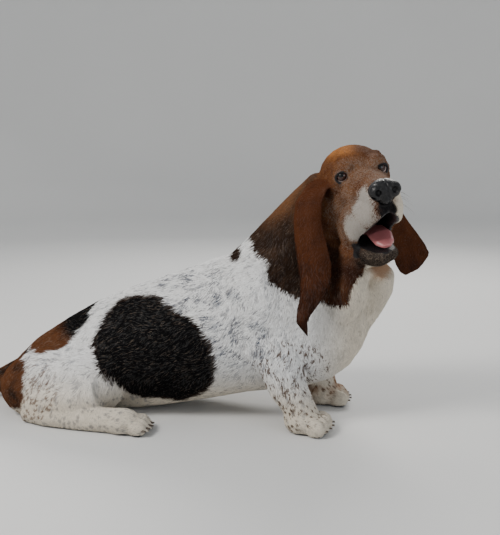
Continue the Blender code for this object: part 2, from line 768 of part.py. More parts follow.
def thinned(body):
    """Fewer triangles, with the head's share kept high."""
    counts = {"head": 0, "rest": 0}
    for face in body.data.polygons:
        groups = {body.vertex_groups[g.group].name for v in face.vertices
                  for g in body.data.vertices[v].groups}
        counts["head" if "head" in groups else "rest"] += len(face.vertices) - 2
    total = counts["head"] + counts["rest"]
    decimated(body, "rest", (REST_TRIANGLES + counts["head"]) / total)
    total = REST_TRIANGLES + counts["head"]
    return decimated(body, "head", (REST_TRIANGLES + HEAD_TRIANGLES) / total)


def half_space(point, up, size=0.6):
    """A large box whose lower face lies at the point and looks away from up."""
    frame = Vector(up).normalized().to_track_quat("Z", "Y").to_matrix().to_4x4()
    return (0, 0, size / 2), (size, size, size), (0, 0, 0), Matrix.Translation(Vector(point)) @ frame


def part_nodes(body):
    """Divides the fused body at the places where a person would name its parts."""
    nodes = {"torso": body}
    body.name = "torso"
    nodes["jaw"] = split_off(body, "jaw", *JAW_BOX, place=HEAD)
    nodes["head"] = split_off(body, "head", *half_space(*HEAD_CUT))
    nodes["neck"] = split_off(body, "neck", *half_space(*NECK_CUT))
    nodes["tail"] = split_off(body, "tail", *half_space(*TAIL_CUT, 0.35))
    for side, word in SIDES:
        leg = split_off(body, "foreleg_" + word, *FORELEG_CUT[side])
        nodes["foreleg_" + word] = leg
        paw = split_off(leg, "forepaw_" + word, *half_space(*FOREPAW_CUT[side]))
        nodes["forepaw_" + word] = paw
        turn = (0, 0, HINDLEG_TURN * side)
        centre = mirrored(HINDLEG_CUT, side)
        leg = split_off(body, "hindleg_" + word, centre, HINDLEG_BOX, turn)
        nodes["hindleg_" + word] = leg
        paw = split_off(leg, "hindpaw_" + word, *half_space(*HINDPAW_CUT))
        nodes["hindpaw_" + word] = paw
    return nodes


def stand_on_floor(nodes):
    """Flats under everything that touches the floor, all at one level."""
    for obj in nodes.values():
        if min(v.co.z for v in obj.data.vertices) < FLOOR_Z:
            carve(obj, box("floor", (-0.2, 0, FLOOR_Z - 0.1), (1.4, 0.8, 0.2)))


def add_claws(nodes):
    for side, word in SIDES:
        leg = FORELEG[side]
        places = (
            ("forepaw_", leg["paw"], leg["heading"], FOREPAW),
            ("hindpaw_", mirrored(HINDPAW_PLACE, side), HINDPAW_HEADING * side, HINDPAW),
        )
        for name, centre, heading, size in places:
            cutter = claws(centre, heading, size)
            boolean(nodes[name + word], "UNION", cutter)
            discard(cutter)
            largest_shell(nodes[name + word])


def features(nodes):
    """The eyes, nose, tongue and ears, each set in a close-fitting seat."""
    head = nodes["head"]
    for side, word in SIDES:
        carve(head, lid_opening(side))
        nodes["eye_" + word] = eyeball(side)
        carve_seat(head, nodes["eye_" + word])
    nodes["nose"] = nose_leather()
    carve_seat(head, nodes["nose"])
    cut_nostrils(nodes["nose"])
    nodes["tongue"] = tongue_form()
    for name in ("head", "jaw"):
        carve_seat(nodes[name], nodes["tongue"])
    for side, word in SIDES:
        ear = ear_form(side)
        nodes["ear_" + word] = ear
        for name in ("head", "neck", "torso"):
            carve_seat(nodes[name], ear)


def coat_material(name, colour, roughness):
    material = bpy.data.materials.new(name)
    material.use_nodes = True
    surface = material.node_tree.nodes["Principled BSDF"]
    surface.inputs["Base Color"].default_value = (*colour, 1)
    surface.inputs["Roughness"].default_value = roughness
    surface.inputs["Metallic"].default_value = 0.0
    return material


def finish(nodes):
    """Names, colours, shading, and the place over the origin."""
    parts = bpy.data.collections.new("basset_hound")
    bpy.context.scene.collection.children.link(parts)
    for name, obj in nodes.items():
        obj.name = name
        obj.data.name = name
        bpy.context.scene.collection.objects.unlink(obj)
        parts.objects.link(obj)
        obj.vertex_groups.clear()
        obj.data.materials.clear()
        obj.data.materials.append(coat_material(name, *LOOKS[name.split("_")[0]]))
        obj.data.shade_smooth()
        obj.data.set_sharp_from_angle(angle=math.radians(50))
        obj.location = ORIGIN_SHIFT


def clear_scene():
    for obj in list(bpy.data.objects):
        bpy.data.objects.remove(obj)


def main():
    clear_scene()
    body = fused_body()
    carve(body, mouth_cutter())
    thinned(body)
    nodes = part_nodes(body)
    features(nodes)
    add_claws(nodes)
    stand_on_floor(nodes)
    finish(nodes)


main()
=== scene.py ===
# A basset hound, life size, that sits low with its hindquarters on the floor, props itself on
# its short forelegs and looks back over its right shoulder with its mouth a little open.
import math

import bmesh
import bpy
import numpy as np
from mathutils import Matrix, Vector
from mathutils.bvhtree import BVHTree


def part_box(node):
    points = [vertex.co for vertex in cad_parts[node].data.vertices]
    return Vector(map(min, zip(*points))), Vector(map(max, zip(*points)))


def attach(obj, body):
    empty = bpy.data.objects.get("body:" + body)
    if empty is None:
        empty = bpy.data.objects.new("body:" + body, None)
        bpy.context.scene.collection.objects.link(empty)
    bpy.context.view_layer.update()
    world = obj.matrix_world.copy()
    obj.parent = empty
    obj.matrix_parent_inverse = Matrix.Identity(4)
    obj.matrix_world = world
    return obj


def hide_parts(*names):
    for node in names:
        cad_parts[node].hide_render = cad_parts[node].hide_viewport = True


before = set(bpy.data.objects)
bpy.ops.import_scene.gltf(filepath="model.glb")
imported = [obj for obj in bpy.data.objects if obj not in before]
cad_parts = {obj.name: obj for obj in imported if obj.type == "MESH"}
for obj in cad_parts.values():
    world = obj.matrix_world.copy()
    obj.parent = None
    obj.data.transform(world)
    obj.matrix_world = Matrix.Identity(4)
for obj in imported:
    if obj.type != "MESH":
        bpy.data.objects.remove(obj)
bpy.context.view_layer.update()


# ---- The skin ----
# One loose hide over the whole dog, with heavy lids, hanging lips, creased cheeks and wrists.
# It is fused from the body's own forms and lies under the coat by the coat's depth.

SIDES = {"right": -1, "left": 1}
FLESH = ["head", "jaw", "neck", "torso", "tail"]
for part in ("ear", "foreleg", "forepaw", "hindleg", "hindpaw"):
    FLESH += [f"{part}_{word}" for word in SIDES]
OVERLAP = 0.0004
SKIN_VOXEL = 0.0017
SKIN_TRIANGLES = 186000
COAT_DEPTH = 0.0022
FACE_DEPTH = 0.0009

HEAD = (Matrix.Translation((0.384, -0.096, 0.435)) @ Matrix.Rotation(math.radians(-74), 4, "Z")
        @ Matrix.Rotation(math.radians(2), 4, "Y") @ Matrix.Rotation(math.radians(12), 4, "X"))
TO_HEAD = HEAD.inverted()
EYE_RADIUS = 0.0115
EYE_TURN = {"right": -15, "left": 15}
EYES = {word: sum(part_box("eye_" + word), Vector()) / 2 for word in SIDES}
MOUTH_CENTRE = Vector((0.048, -0.002, -0.088))
MOUTH_RADII = Vector((0.074, 0.021, 0.025))
# The room between the lips, under the nose
LIP_ROOM = Vector((0.078, 0.003, -0.076))
LIP_ROOM_RADII = Vector((0.037, 0.023, 0.019))


def mesh_object(bm, name):
    mesh = bpy.data.meshes.new(name)
    bm.to_mesh(mesh)
    bm.free()
    piece = bpy.data.objects.new(name, mesh)
    bpy.context.scene.collection.objects.link(piece)
    return piece


def apply_modifiers(piece):
    graph = bpy.context.evaluated_depsgraph_get()
    mesh = bpy.data.meshes.new_from_object(piece.evaluated_get(graph))
    piece.modifiers.clear()
    old = piece.data
    piece.data = mesh
    bpy.data.meshes.remove(old)


def remesh(piece, voxel, rounds=0):
    """Fuses a piece into one closed surface, and evens it out."""
    fuse = piece.modifiers.new("fuse", "REMESH")
    fuse.mode = "VOXEL"
    fuse.voxel_size = voxel
    if rounds:
        even = piece.modifiers.new("even", "CORRECTIVE_SMOOTH")
        even.iterations = rounds
    apply_modifiers(piece)


def node_copy(name, swell):
    """A closed copy of a node's mesh, pushed out a little so that it runs into its neighbours."""
    bm = bmesh.new()
    bm.from_mesh(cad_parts[name].data)
    bmesh.ops.remove_doubles(bm, verts=bm.verts, dist=1e-6)
    bm.normal_update()
    for vert in bm.verts:
        vert.co += vert.normal * swell
    return bm


def sweep(bm, centres, sides, widths, depths, closed=False, ring_count=10):
    """A tube along centres; sides are the directions across it, the other way is worked out."""
    rings = []
    count = len(centres)
    for n in range(count):
        ahead = centres[(n + 1) % count if closed else min(n + 1, count - 1)]
        ahead = (ahead - centres[(n - 1) % count if closed else max(n - 1, 0)]).normalized()
        up = ahead.cross(sides[n]).normalized()
        side = up.cross(ahead).normalized()
        ring = bmesh.ops.create_circle(bm, segments=ring_count, radius=1)["verts"]
        turn = Matrix((side * widths[n], up * depths[n], ahead)).transposed().to_4x4()
        bmesh.ops.transform(bm, matrix=Matrix.Translation(centres[n]) @ turn, verts=ring)
        edges = [bm.edges.get((a, b)) for a, b in zip(ring, ring[1:] + ring[:1])]
        rings.append(edges)
    pairs = list(zip(rings, rings[1:])) + ([(rings[-1], rings[0])] if closed else [])
    for a, b in pairs:
        bmesh.ops.bridge_loops(bm, edges=a + b)
    if not closed:
        for end in (rings[0], rings[-1]):
            bmesh.ops.contextual_create(bm, geom=end)


# The lids follow an almond on the eyeball: the upper is heavy, the lower hangs and shows the haw
LID_WIDE = math.radians(51)
LID_UP = math.radians(37)
LID_DOWN = math.radians(43)
LID_TILT = {"right": math.radians(14), "left": math.radians(-14)}
LID_RING = 32
LID_STAND = 0.0012


def eye_axes(word):
    turn = Matrix.Rotation(math.radians(EYE_TURN[word]), 4, "Z")
    return Matrix.Translation(EYES[word]) @ HEAD.to_3x3().to_4x4() @ turn


def lid_point(word, t, radius):
    """A point of the lid margin: t runs round the eye from its outer corner."""
    across = math.cos(t) * LID_WIDE
    up = math.sin(t) * (LID_UP if math.sin(t) > 0 else LID_DOWN)
    tilt = LID_TILT[word]
    y = math.sin(across) * math.cos(up) * SIDES[word]
    z = math.sin(up)
    y, z = y * math.cos(tilt) - z * math.sin(tilt), y * math.sin(tilt) + z * math.cos(tilt)
    x = math.sqrt(max(1 - y * y - z * z, 0.05))
    return eye_axes(word) @ (Vector((x, y, z)) * radius)


def add_lids(bm, word):
    turns = [2 * math.pi * n / LID_RING for n in range(LID_RING)]
    centres = [lid_point(word, t, EYE_RADIUS + LID_STAND) for t in turns]
    sides = [(c - EYES[word]).normalized() for c in centres]
    widths = [0.0017 + 0.0005 * max(math.sin(t), 0) for t in turns]
    sweep(bm, centres, sides, widths, [0.0018] * LID_RING, closed=True)
    middle = sum(centres, Vector()) / LID_RING
    back = (middle - EYES[word]).normalized() * 0.0022
    outer = [middle + (c - middle) * 1.28 - back for c in centres]
    sweep(bm, outer, sides, [0.0034] * LID_RING, [0.0030] * LID_RING, closed=True)


def add_mesh(bm, other):
    """Adds one mesh to another, as it stands, and frees it."""
    scrap = bpy.data.meshes.new("scrap")
    other.to_mesh(scrap)
    other.free()
    bm.from_mesh(scrap)
    bpy.data.meshes.remove(scrap)


joined = bmesh.new()
for name in FLESH:
    add_mesh(joined, node_copy(name, OVERLAP))
for word in SIDES:
    add_lids(joined, word)
bmesh.ops.recalc_face_normals(joined, faces=joined.faces)
skin = mesh_object(joined, "skin")
remesh(skin, SKIN_VOXEL)


def coordinates(mesh):
    flat = np.empty(len(mesh.vertices) * 3, np.float32)
    mesh.vertices.foreach_get("co", flat)
    return flat.reshape(-1, 3).astype(float)


def normals(mesh):
    flat = np.empty(len(mesh.vertices) * 3, np.float32)
    mesh.vertex_normals.foreach_get("vector", flat)
    return flat.reshape(-1, 3).astype(float)


def set_coordinates(mesh, points):
    mesh.vertices.foreach_set("co", points.astype(np.float32).ravel())
    mesh.update()


def in_head(points):
    turn = np.array(TO_HEAD.to_3x3())
    return points @ turn.T + np.array(TO_HEAD.translation)


def rise(values, low, high):
    """0 at low, 1 at high, smooth in between."""
    t = np.clip((values - low) / (high - low), 0, 1)
    return t * t * (3 - 2 * t)


def distance_to(points, line):
    """The distance from each point to a line of straight stretches."""
    best = np.full(len(points), 1e9)
    line = [np.array(p, float) for p in line]
    for a, b in zip(line, line[1:]):
        along = b - a
        t = np.clip(((points - a) @ along) / max(along @ along, 1e-12), 0, 1)
        best = np.minimum(best, np.linalg.norm(points - a - t[:, None] * along, axis=1))
    return best


def smoothed(mesh, weights, rounds):
    """Evens out a mesh where the weights say, by moving points towards their neighbours."""
    points = coordinates(mesh)
    edges = np.empty(len(mesh.edges) * 2, np.int64)
    mesh.edges.foreach_get("vertices", edges)
    a, b = edges[0::2], edges[1::2]
    count = len(points)
    near = np.bincount(a, minlength=count) + np.bincount(b, minlength=count)
    near = np.maximum(near, 1)[:, None]
    for _ in range(rounds):
        total = np.empty_like(points)
        for axis in range(3):
            total[:, axis] = (np.bincount(a, points[b, axis], count)
                              + np.bincount(b, points[a, axis], count))
        points += (total / near - points) * (0.5 * weights[:, None])
    set_coordinates(mesh, points)


def from_eyes(points):
    """The distance from each point to the middle of the nearer eye."""
    return np.minimum(*[np.linalg.norm(points - np.array(EYES[w]), axis=1) for w in SIDES])


# The voxels' steps are evened out, most where the ears grow from the skull
EAR_TOPS = {"right": (0.325, -0.080, 0.416), "left": (0.405, -0.036, 0.420)}
points = coordinates(skin.data)
calm = rise(from_eyes(points), 0.016, 0.026)
smoothed(skin.data, 0.25 + 0.75 * calm, 3)
blend = np.zeros(len(points))
for word in SIDES:
    root = np.linalg.norm(points - np.array(EAR_TOPS[word]), axis=1)
    blend = np.maximum(blend, 1 - rise(root, 0.030, 0.055))
smoothed(skin.data, blend * calm, 14)

def face_share(points):
    """1 on the head, ears and feet, where the hair is shortest, 0 on the body."""
    p = in_head(points)
    head = 1 - rise(np.linalg.norm(p / (1.25, 1.0, 1.15) - (-0.01, 0, -0.04), axis=1),
                    0.095, 0.135)
    feet = 1 - rise(points[:, 2], 0.040, 0.075)
    feet *= rise(np.abs(points[:, 1] - 0.026), 0.05, 0.09) + rise(points[:, 0], 0.22, 0.28)
    ears = 0.6 * rise(points[:, 0] * 0.57 + points[:, 2] * 0.82, 0.40, 0.46)
    return np.clip(np.maximum(np.maximum(head, feet), ears), 0, 1)


# How deep the skin lies under the tips of the coat
points = coordinates(skin.data)
face = face_share(points)
depth = COAT_DEPTH * (1 - face) + FACE_DEPTH * face
depth *= rise(from_eyes(points), 0.013, 0.022)
inside_mouth = np.linalg.norm((in_head(points) - MOUTH_CENTRE) / MOUTH_RADII, axis=1)
depth *= rise(inside_mouth, 0.9, 1.25)
points -= normals(skin.data) * depth[:, None]
set_coordinates(skin.data, points)

# Folds, as lines in the head's own axes: x along the muzzle, y to the dog's left, z up.
# Each has its line, how wide it is and how far it stands out (or in, where it is negative).
HEAD_FOLDS = [
    ([(0.020, 0, 0.020), (-0.010, 0, 0.036), (-0.045, 0, 0.044)], 0.0050, -0.0022),
]
for s in (-1, 1):
    HEAD_FOLDS += [
        # the bony brow over the eye, and the wrinkle that runs up from its inner end
        ([(0.012, 0.020 * s, 0.017), (-0.002, 0.030 * s, 0.022), (-0.014, 0.041 * s, 0.014)],
         0.0060, 0.0022),
        ([(0.018, 0.010 * s, 0.018), (0.000, 0.013 * s, 0.032), (-0.030, 0.020 * s, 0.042)],
         0.0050, 0.0016),
        ([(0.004, 0.020 * s, 0.028), (-0.010, 0.032 * s, 0.030), (-0.028, 0.044 * s, 0.022)],
         0.0035, -0.0012),
        # the pouch under the eye and the crease below it
        ([(0.016, 0.022 * s, -0.012), (0.006, 0.033 * s, -0.019), (-0.010, 0.043 * s, -0.014)],
         0.0045, 0.0014),
        ([(0.024, 0.022 * s, -0.016), (0.010, 0.035 * s, -0.028), (-0.010, 0.046 * s, -0.026)],
         0.0032, -0.0014),
        # creases that run down the cheek behind the lip
        ([(-0.020, 0.052 * s, -0.030), (-0.014, 0.052 * s, -0.060), (0.000, 0.048 * s, -0.095)],
         0.0035, -0.0013),
        ([(0.020, 0.040 * s, -0.040), (0.020, 0.044 * s, -0.066), (0.030, 0.042 * s, -0.088)],
         0.0040, -0.0010),
        ([(0.070, 0.030 * s, -0.038), (0.050, 0.036 * s, -0.052), (0.024, 0.043 * s, -0.062)],
         0.0045, 0.0010),
    ]
# Folds of the body, in the model's own axes
BODY_FOLDS = [
    # the wrist's creases on the near foreleg, and the fold under its shoulder
    ([(0.262, -0.118, 0.050), (0.285, -0.118, 0.054), (0.305, -0.108, 0.060)], 0.0045, -0.0028),
    ([(0.258, -0.116, 0.066), (0.282, -0.118, 0.074), (0.303, -0.104, 0.082)], 0.0050, -0.0016),
    ([(0.196, -0.105, 0.142), (0.230, -0.118, 0.148), (0.286, -0.110, 0.146)], 0.0070, -0.0030),
    ([(0.200, -0.104, 0.128), (0.220, -0.112, 0.120), (0.232, -0.114, 0.108)], 0.0060, 0.0014),
    ([(0.300, -0.105, 0.155), (0.330, -0.100, 0.135), (0.362, -0.070, 0.105)], 0.0070, -0.0030),
    ([(0.318, -0.100, 0.190), (0.345, -0.096, 0.160), (0.372, -0.070, 0.125)], 0.0090, 0.0024),
    # the far foreleg's wrist
    ([(0.300, 0.090, 0.052), (0.322, 0.102, 0.056), (0.345, 0.090, 0.060)], 0.0045, -0.0026),
    # the crease between the two folds of the dewlap
    ([(0.386, -0.110, 0.292), (0.398, -0.098, 0.262), (0.402, -0.076, 0.225)], 0.0060, -0.0060),
    ([(0.366, -0.118, 0.270), (0.362, -0.110, 0.235), (0.350, -0.100, 0.205)], 0.0060, -0.0030),
    # the flank, where the thigh's skin is drawn forward over the belly
    ([(-0.100, -0.100, 0.128), (-0.060, -0.098, 0.110), (-0.036, -0.092, 0.070)], 0.0120, 0.0030),
    ([(-0.095, -0.120, 0.100), (-0.078, -0.135, 0.070), (-0.074, -0.140, 0.040)], 0.0060, -0.0025),
    ([(-0.100, 0.152, 0.128), (-0.060, 0.150, 0.110), (-0.036, 0.144, 0.070)], 0.0120, 0.0030),
    # the loose skin over the ribs and behind the shoulder blade
    ([(0.150, -0.070, 0.262), (0.176, -0.096, 0.220), (0.190, -0.104, 0.170)], 0.0120, -0.0022),
    ([(0.225, -0.080, 0.262), (0.240, -0.108, 0.220), (0.250, -0.114, 0.180)], 0.0180, 0.0026),
    ([(0.150, 0.124, 0.262), (0.176, 0.150, 0.220), (0.190, 0.156, 0.170)], 0.0120, -0.0022),
]
# The long folds of the leathers, which hang in loose pleats
EAR_LINES = {
    "right": [(0.317, -0.074, 0.414), (0.300, -0.094, 0.392), (0.297, -0.108, 0.352),
              (0.306, -0.117, 0.304), (0.312, -0.122, 0.262), (0.304, -0.123, 0.230),
              (0.293, -0.123, 0.204)],
    "left": [(0.421, -0.033, 0.414), (0.434, -0.019, 0.392), (0.445, 0.003, 0.360),
             (0.459, 0.033, 0.326), (0.472, 0.059, 0.292), (0.480, 0.073, 0.268)],
}
PLEATS = [(-0.016, 0.0055, 0.0018), (-0.006, 0.0050, -0.0016), (0.006, 0.0060, 0.0022),
          (0.017, 0.0045, -0.0018)]
for word, line in EAR_LINES.items():
    for shift, width, height in PLEATS:
        moved = [(px + shift * (1 - 0.25 * n / len(line)), py, pz)
                 for n, (px, py, pz) in enumerate(line)]
        BODY_FOLDS.append((moved, width, height))
points = coordinates(skin.data)
local = in_head(points)
push = np.zeros(len(points))
for line, width, height in HEAD_FOLDS:
    push += height * np.exp(-(distance_to(local, line) / width) ** 2)
for line, width, height in BODY_FOLDS:
    push += height * np.exp(-(distance_to(points, line) / width) ** 2)
push *= rise(from_eyes(points), 0.0125, 0.016)
points += normals(skin.data) * push[:, None]
points[:, 2] = np.maximum(points[:, 2], 0.0006)
set_coordinates(skin.data, points)

# The head keeps its fineness, and the body is thinned more
coarse = skin.vertex_groups.new(name="coarse")
weight = 1.0 - 0.85 * face_share(points)
for level in (0.15, 0.4, 0.7, 1.0):
    chosen = np.nonzero((weight > level - 0.26) & (weight <= level))[0]
    if len(chosen):
        coarse.add(chosen.tolist(), float(level), "REPLACE")
triangles = sum(len(p.vertices) - 2 for p in skin.data.polygons)
thin = skin.modifiers.new("thin", "DECIMATE")
thin.ratio = min(1.0, SKIN_TRIANGLES / triangles)
thin.vertex_group = "coarse"
thin.vertex_group_factor = 1.0
apply_modifiers(skin)
skin.vertex_groups.clear()
skin.data.shade_smooth()


# ---- The coat ----
# Short dense hair that lies flat along the body: backwards on the trunk, down the neck and
# legs, up the face from the nose. It is laid as small tapering tufts, shortest on face and
# feet, each one closed and rooted in the skin, and each carries the colour of its root.

TUFTS = 205000
PIECE_TUFTS = 31000
BODY_HAIR = (0.0105, 0.00165)
FACE_HAIR = (0.0048, 0.00105)
PATCH = 0.003

# Which way the hair points, at places on the dog. The head's are in its own axes.
LIE = [
    ((-0.30, 0.03, 0.16), (-1, 0, 0.0)), ((-0.15, 0.03, 0.17), (-1, 0, 0)),
    ((0.00, 0.03, 0.22), (-1, 0, 0)), ((0.12, 0.03, 0.26), (-1, 0, 0)),
    ((-0.10, -0.10, 0.12), (-0.9, 0, -0.45)), ((-0.10, 0.16, 0.12), (-0.9, 0, -0.45)),
    ((0.02, -0.09, 0.14), (-0.95, 0, -0.30)), ((0.02, 0.15, 0.14), (-0.95, 0, -0.30)),
    ((0.12, -0.10, 0.16), (-0.85, 0, -0.50)), ((0.12, 0.16, 0.16), (-0.85, 0, -0.50)),
    ((0.20, -0.10, 0.20), (-0.50, 0, -0.85)), ((0.20, 0.16, 0.20), (-0.50, 0, -0.85)),
    ((0.05, 0.03, 0.03), (-1, 0, 0)), ((0.20, 0.03, 0.05), (-1, 0, 0)),
    ((0.20, -0.03, 0.31), (-0.80, 0, -0.60)), ((0.24, 0.06, 0.33), (-0.60, 0.3, -0.75)),
    ((0.27, -0.07, 0.30), (-0.35, 0.05, -0.93)), ((0.25, -0.06, 0.38), (-0.55, 0.25, -0.80)),
    ((0.36, -0.10, 0.24), (0.02, 0.02, -1)), ((0.41, -0.08, 0.22), (0, 0.05, -1)),
    ((0.38, 0.00, 0.20), (0.05, 0, -1)), ((0.40, 0.05, 0.25), (0, 0.1, -1)),
    ((0.36, -0.03, 0.10), (-0.1, 0, -1)), ((0.36, 0.08, 0.12), (-0.1, 0, -1)),
    ((0.28, -0.12, 0.14), (-0.20, 0, -0.98)), ((0.28, -0.12, 0.07), (0.10, 0, -1)),
    ((0.31, -0.10, 0.035), (0.9, 0, -0.4)), ((0.34, -0.10, 0.02), (1, 0, -0.2)),
    ((0.33, 0.08, 0.14), (-0.1, 0, -1)), ((0.34, 0.08, 0.06), (0.1, 0, -1)),
    ((0.36, 0.08, 0.02), (1, 0, -0.2)),
    ((-0.19, -0.12, 0.09), (-0.55, 0, -0.85)), ((-0.19, 0.18, 0.09), (-0.55, 0, -0.85)),
    ((-0.10, -0.14, 0.07), (-0.50, 0, -0.85)), ((-0.10, 0.20, 0.07), (-0.50, 0, -0.85)),
    ((-0.06, -0.14, 0.03), (0.3, 0, -0.9)), ((0.00, -0.15, 0.02), (1, 0, -0.1)),
    ((-0.06, 0.20, 0.03), (0.3, 0, -0.9)), ((0.00, 0.21, 0.02), (1, 0, -0.1)),
    ((-0.24, 0.03, 0.10), (-0.9, 0, -0.5)), ((-0.27, 0.03, 0.05), (-1, 0, -0.2)),
    ((-0.40, 0.04, 0.03), (-1, 0.1, 0)), ((-0.50, 0.06, 0.02), (-1, 0.3, 0)),
]
HEAD_LIE = [
    ((0.085, 0, 0.005), (-1, 0, 0.25)), ((0.045, 0, 0.020), (-1, 0, 0.2)),
    ((0.00, 0, 0.040), (-1, 0, 0.2)), ((-0.05, 0, 0.050), (-1, 0, 0)),
    ((-0.10, 0, 0.035), (-1, 0, -0.4)),
]
for s in (-1, 1):
    HEAD_LIE += [
        ((0.095, 0.022 * s, -0.030), (-0.85, 0.1 * s, -0.5)),
        ((0.075, 0.032 * s, -0.055), (-0.60, 0, -0.8)),
        ((0.050, 0.035 * s, -0.030), (-1, 0.2 * s, -0.2)),
        ((0.020, 0.045 * s, -0.040), (-0.9, 0.2 * s, -0.4)),
        ((0.030, 0.042 * s, -0.080), (-0.5, 0, -0.85)),
        ((-0.02, 0.055 * s, -0.010), (-1, 0.2 * s, -0.2)),
        ((0.005, 0.035 * s, 0.018), (-0.9, 0.4 * s, 0.3)),
        ((-0.02, 0.055 * s, -0.07), (-0.7, 0, -0.7)),
        ((0.020, 0.030 * s, -0.130), (-0.8, 0, -0.5)),
    ]
EAR_LIE = [
    ((0.325, -0.085, 0.42), (-0.3, -0.5, -0.8)), ((0.305, -0.125, 0.36), (-0.15, -0.2, -1)),
    ((0.310, -0.135, 0.28), (0, 0, -1)), ((0.308, -0.130, 0.19), (0, 0, -1)),
    ((0.425, -0.015, 0.43), (0.5, 0.5, -0.6)), ((0.46, 0.03, 0.36), (0.25, 0.15, -1)),
    ((0.465, 0.04, 0.28), (0.1, 0, -1)), ((0.470, 0.04, 0.20), (0, 0, -1)),
]
turn = HEAD.to_3x3()
for place, way in HEAD_LIE:
    LIE.append((tuple(HEAD @ Vector(place)), tuple(turn @ Vector(way))))
LIE += EAR_LIE


def unit(vectors):
    return vectors / np.maximum(np.linalg.norm(vectors, axis=1, keepdims=True), 1e-12)


def lie(points, normal, chance):
    """The way the hair points at each place, flat to the skin and a little unruly."""
    total = np.zeros_like(points)
    for place, way in LIE:
        away = np.linalg.norm(points - np.array(place), axis=1)
        total += unit(np.array([way], float)) / (away + 0.012)[:, None] ** 4
    way = unit(total)
    swirl = 0.22 * (np.sin(points[:, 0] * 71 + 3 * np.sin(points[:, 2] * 43))
                    + np.sin(points[:, 2] * 83 + 2 * np.sin(points[:, 1] * 57)))
    swirl += (chance - 0.5) * 0.55
    side = np.cross(normal, way)
    way = way + side * np.tan(swirl)[:, None]
    return unit(way - normal * (way * normal).sum(axis=1, keepdims=True))


# The wet black edges of the lips, in the head's own axes: near upper, far upper, lower
LIP_EDGES = [
    [(0.110, -0.006, -0.055), (0.097, -0.016, -0.065), (0.068, -0.025, -0.082),
     (0.036, -0.031, -0.095), (0.012, -0.036, -0.108)],
    [(0.110, 0.004, -0.055), (0.097, 0.015, -0.063), (0.068, 0.021, -0.078),
     (0.036, 0.024, -0.087), (0.010, 0.026, -0.098)],
    [(0.020, -0.030, -0.110), (0.045, -0.027, -0.112), (0.066, -0.020, -0.114),
     (0.079, -0.005, -0.117), (0.068, 0.012, -0.114), (0.045, 0.020, -0.110)],
    [(0.106, 0.000, -0.044), (0.108, 0.000, -0.058)],
]
# The loose corner of the mouth, where the lower lip hangs open and shows its wet lining
LIP_CORNER = [(0.026, -0.037, -0.112), (0.024, -0.040, -0.124), (0.030, -0.036, -0.136)]


def bare_share(points, facing):
    """1 where no hair grows: lid margins, the lips' wet edges, inside the mouth, the pads."""
    p = in_head(points)
    inward = unit(np.array(MOUTH_CENTRE) - p)
    inward = (inward * (facing @ np.array(HEAD.to_3x3()))).sum(axis=1)
    near_eye = np.full(len(points), 1.0)
    for word in SIDES:
        ring = [lid_point(word, 2 * math.pi * n / 16, EYE_RADIUS + LID_STAND)
                for n in range(17)]
        near_eye = np.minimum(near_eye, distance_to(points, ring))
    mouth = np.linalg.norm((p - MOUTH_CENTRE) / MOUTH_RADII, axis=1)
    room = np.linalg.norm((p - LIP_ROOM) / LIP_ROOM_RADII, axis=1)
    nose = np.linalg.norm(points - np.array(sum(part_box("nose"), Vector()) / 2), axis=1)
    bare = np.maximum(1 - rise(near_eye, 0.0020, 0.0036), 1 - rise(mouth, 0.98, 1.10))
    bare = np.maximum(bare, 1 - rise(room, 0.95, 1.06))
    bare = np.maximum(bare, (1 - rise(mouth, 1.45, 1.60)) * rise(inward, 0.15, 0.40))
    for edge in LIP_EDGES:
        bare = np.maximum(bare, 1 - rise(distance_to(p, edge), 0.0024, 0.0048))
    bare = np.maximum(bare, 1 - rise(distance_to(p, LIP_CORNER), 0.0085, 0.0115))
    bare = np.maximum(bare, 1 - rise(nose, 0.017, 0.020))
    return np.maximum(bare, 1 - rise(points[:, 2], 0.0030, 0.0060))


leathers = bmesh.new()
for word in SIDES:
    add_mesh(leathers, node_copy("ear_" + word, 0.0))
ear_tree = BVHTree.FromBMesh(leathers)
leathers.free()


def ear_share(points):
    """1 on the leathers of the ears, 0 elsewhere."""
    away = np.full(len(points), 1.0)
    by_ear = np.nonzero((points[:, 0] > 0.25) & (points[:, 2] > 0.17))[0]
    for n in by_ear.tolist():
        away[n] = ear_tree.find_nearest(points[n].tolist())[3]
    return 1 - rise(away, 0.0030, 0.0042)


def triangle_corners(mesh, kind="vertices"):
    """The numbers of the three vertices, or loops, of each triangle."""
    mesh.calc_loop_triangles()
    corners = np.empty(len(mesh.loop_triangles) * 3, np.int32)
    mesh.loop_triangles.foreach_get(kind, corners)
    return corners.reshape(-1, 3)


# Where the tufts are rooted: by chance, closer together where the hair is shortest
corners = triangle_corners(skin.data)
points, normal = coordinates(skin.data), normals(skin.data)
a, b, c = (points[corners[:, n]] for n in range(3))
turned = np.cross(b - a, c - a)
area = np.linalg.norm(turned, axis=1) / 2
middle = (a + b + c) / 3
density = 1 + 3.2 * face_share(middle)
weight = area * density * (bare_share(middle, unit(turned)) < 0.5)

random = np.random.default_rng(11)
total = np.cumsum(weight)
chosen = np.searchsorted(total / total[-1], (np.arange(TUFTS) + random.random(TUFTS)) / TUFTS)
chosen = np.minimum(chosen, len(weight) - 1)
u, v = random.random(TUFTS), random.random(TUFTS)
fold = u + v > 1
u[fold], v[fold] = 1 - u[fold], 1 - v[fold]
shares = np.stack([1 - u - v, u, v], axis=1)[:, :, None]
roots = (points[corners[chosen]] * shares).sum(axis=1)
outward = unit((normal[corners[chosen]] * shares).sum(axis=1))
way = lie(roots, outward, random.random(TUFTS))
share = face_share(roots)
length = (BODY_HAIR[0] * (1 - share) + FACE_HAIR[0] * share) * (0.7 + 0.6 * random.random(TUFTS))
width = (BODY_HAIR[1] * (1 - share) + FACE_HAIR[1] * share) * (0.7 + 0.6 * random.random(TUFTS))

tree = BVHTree.FromPolygons(points.tolist(), corners.tolist())


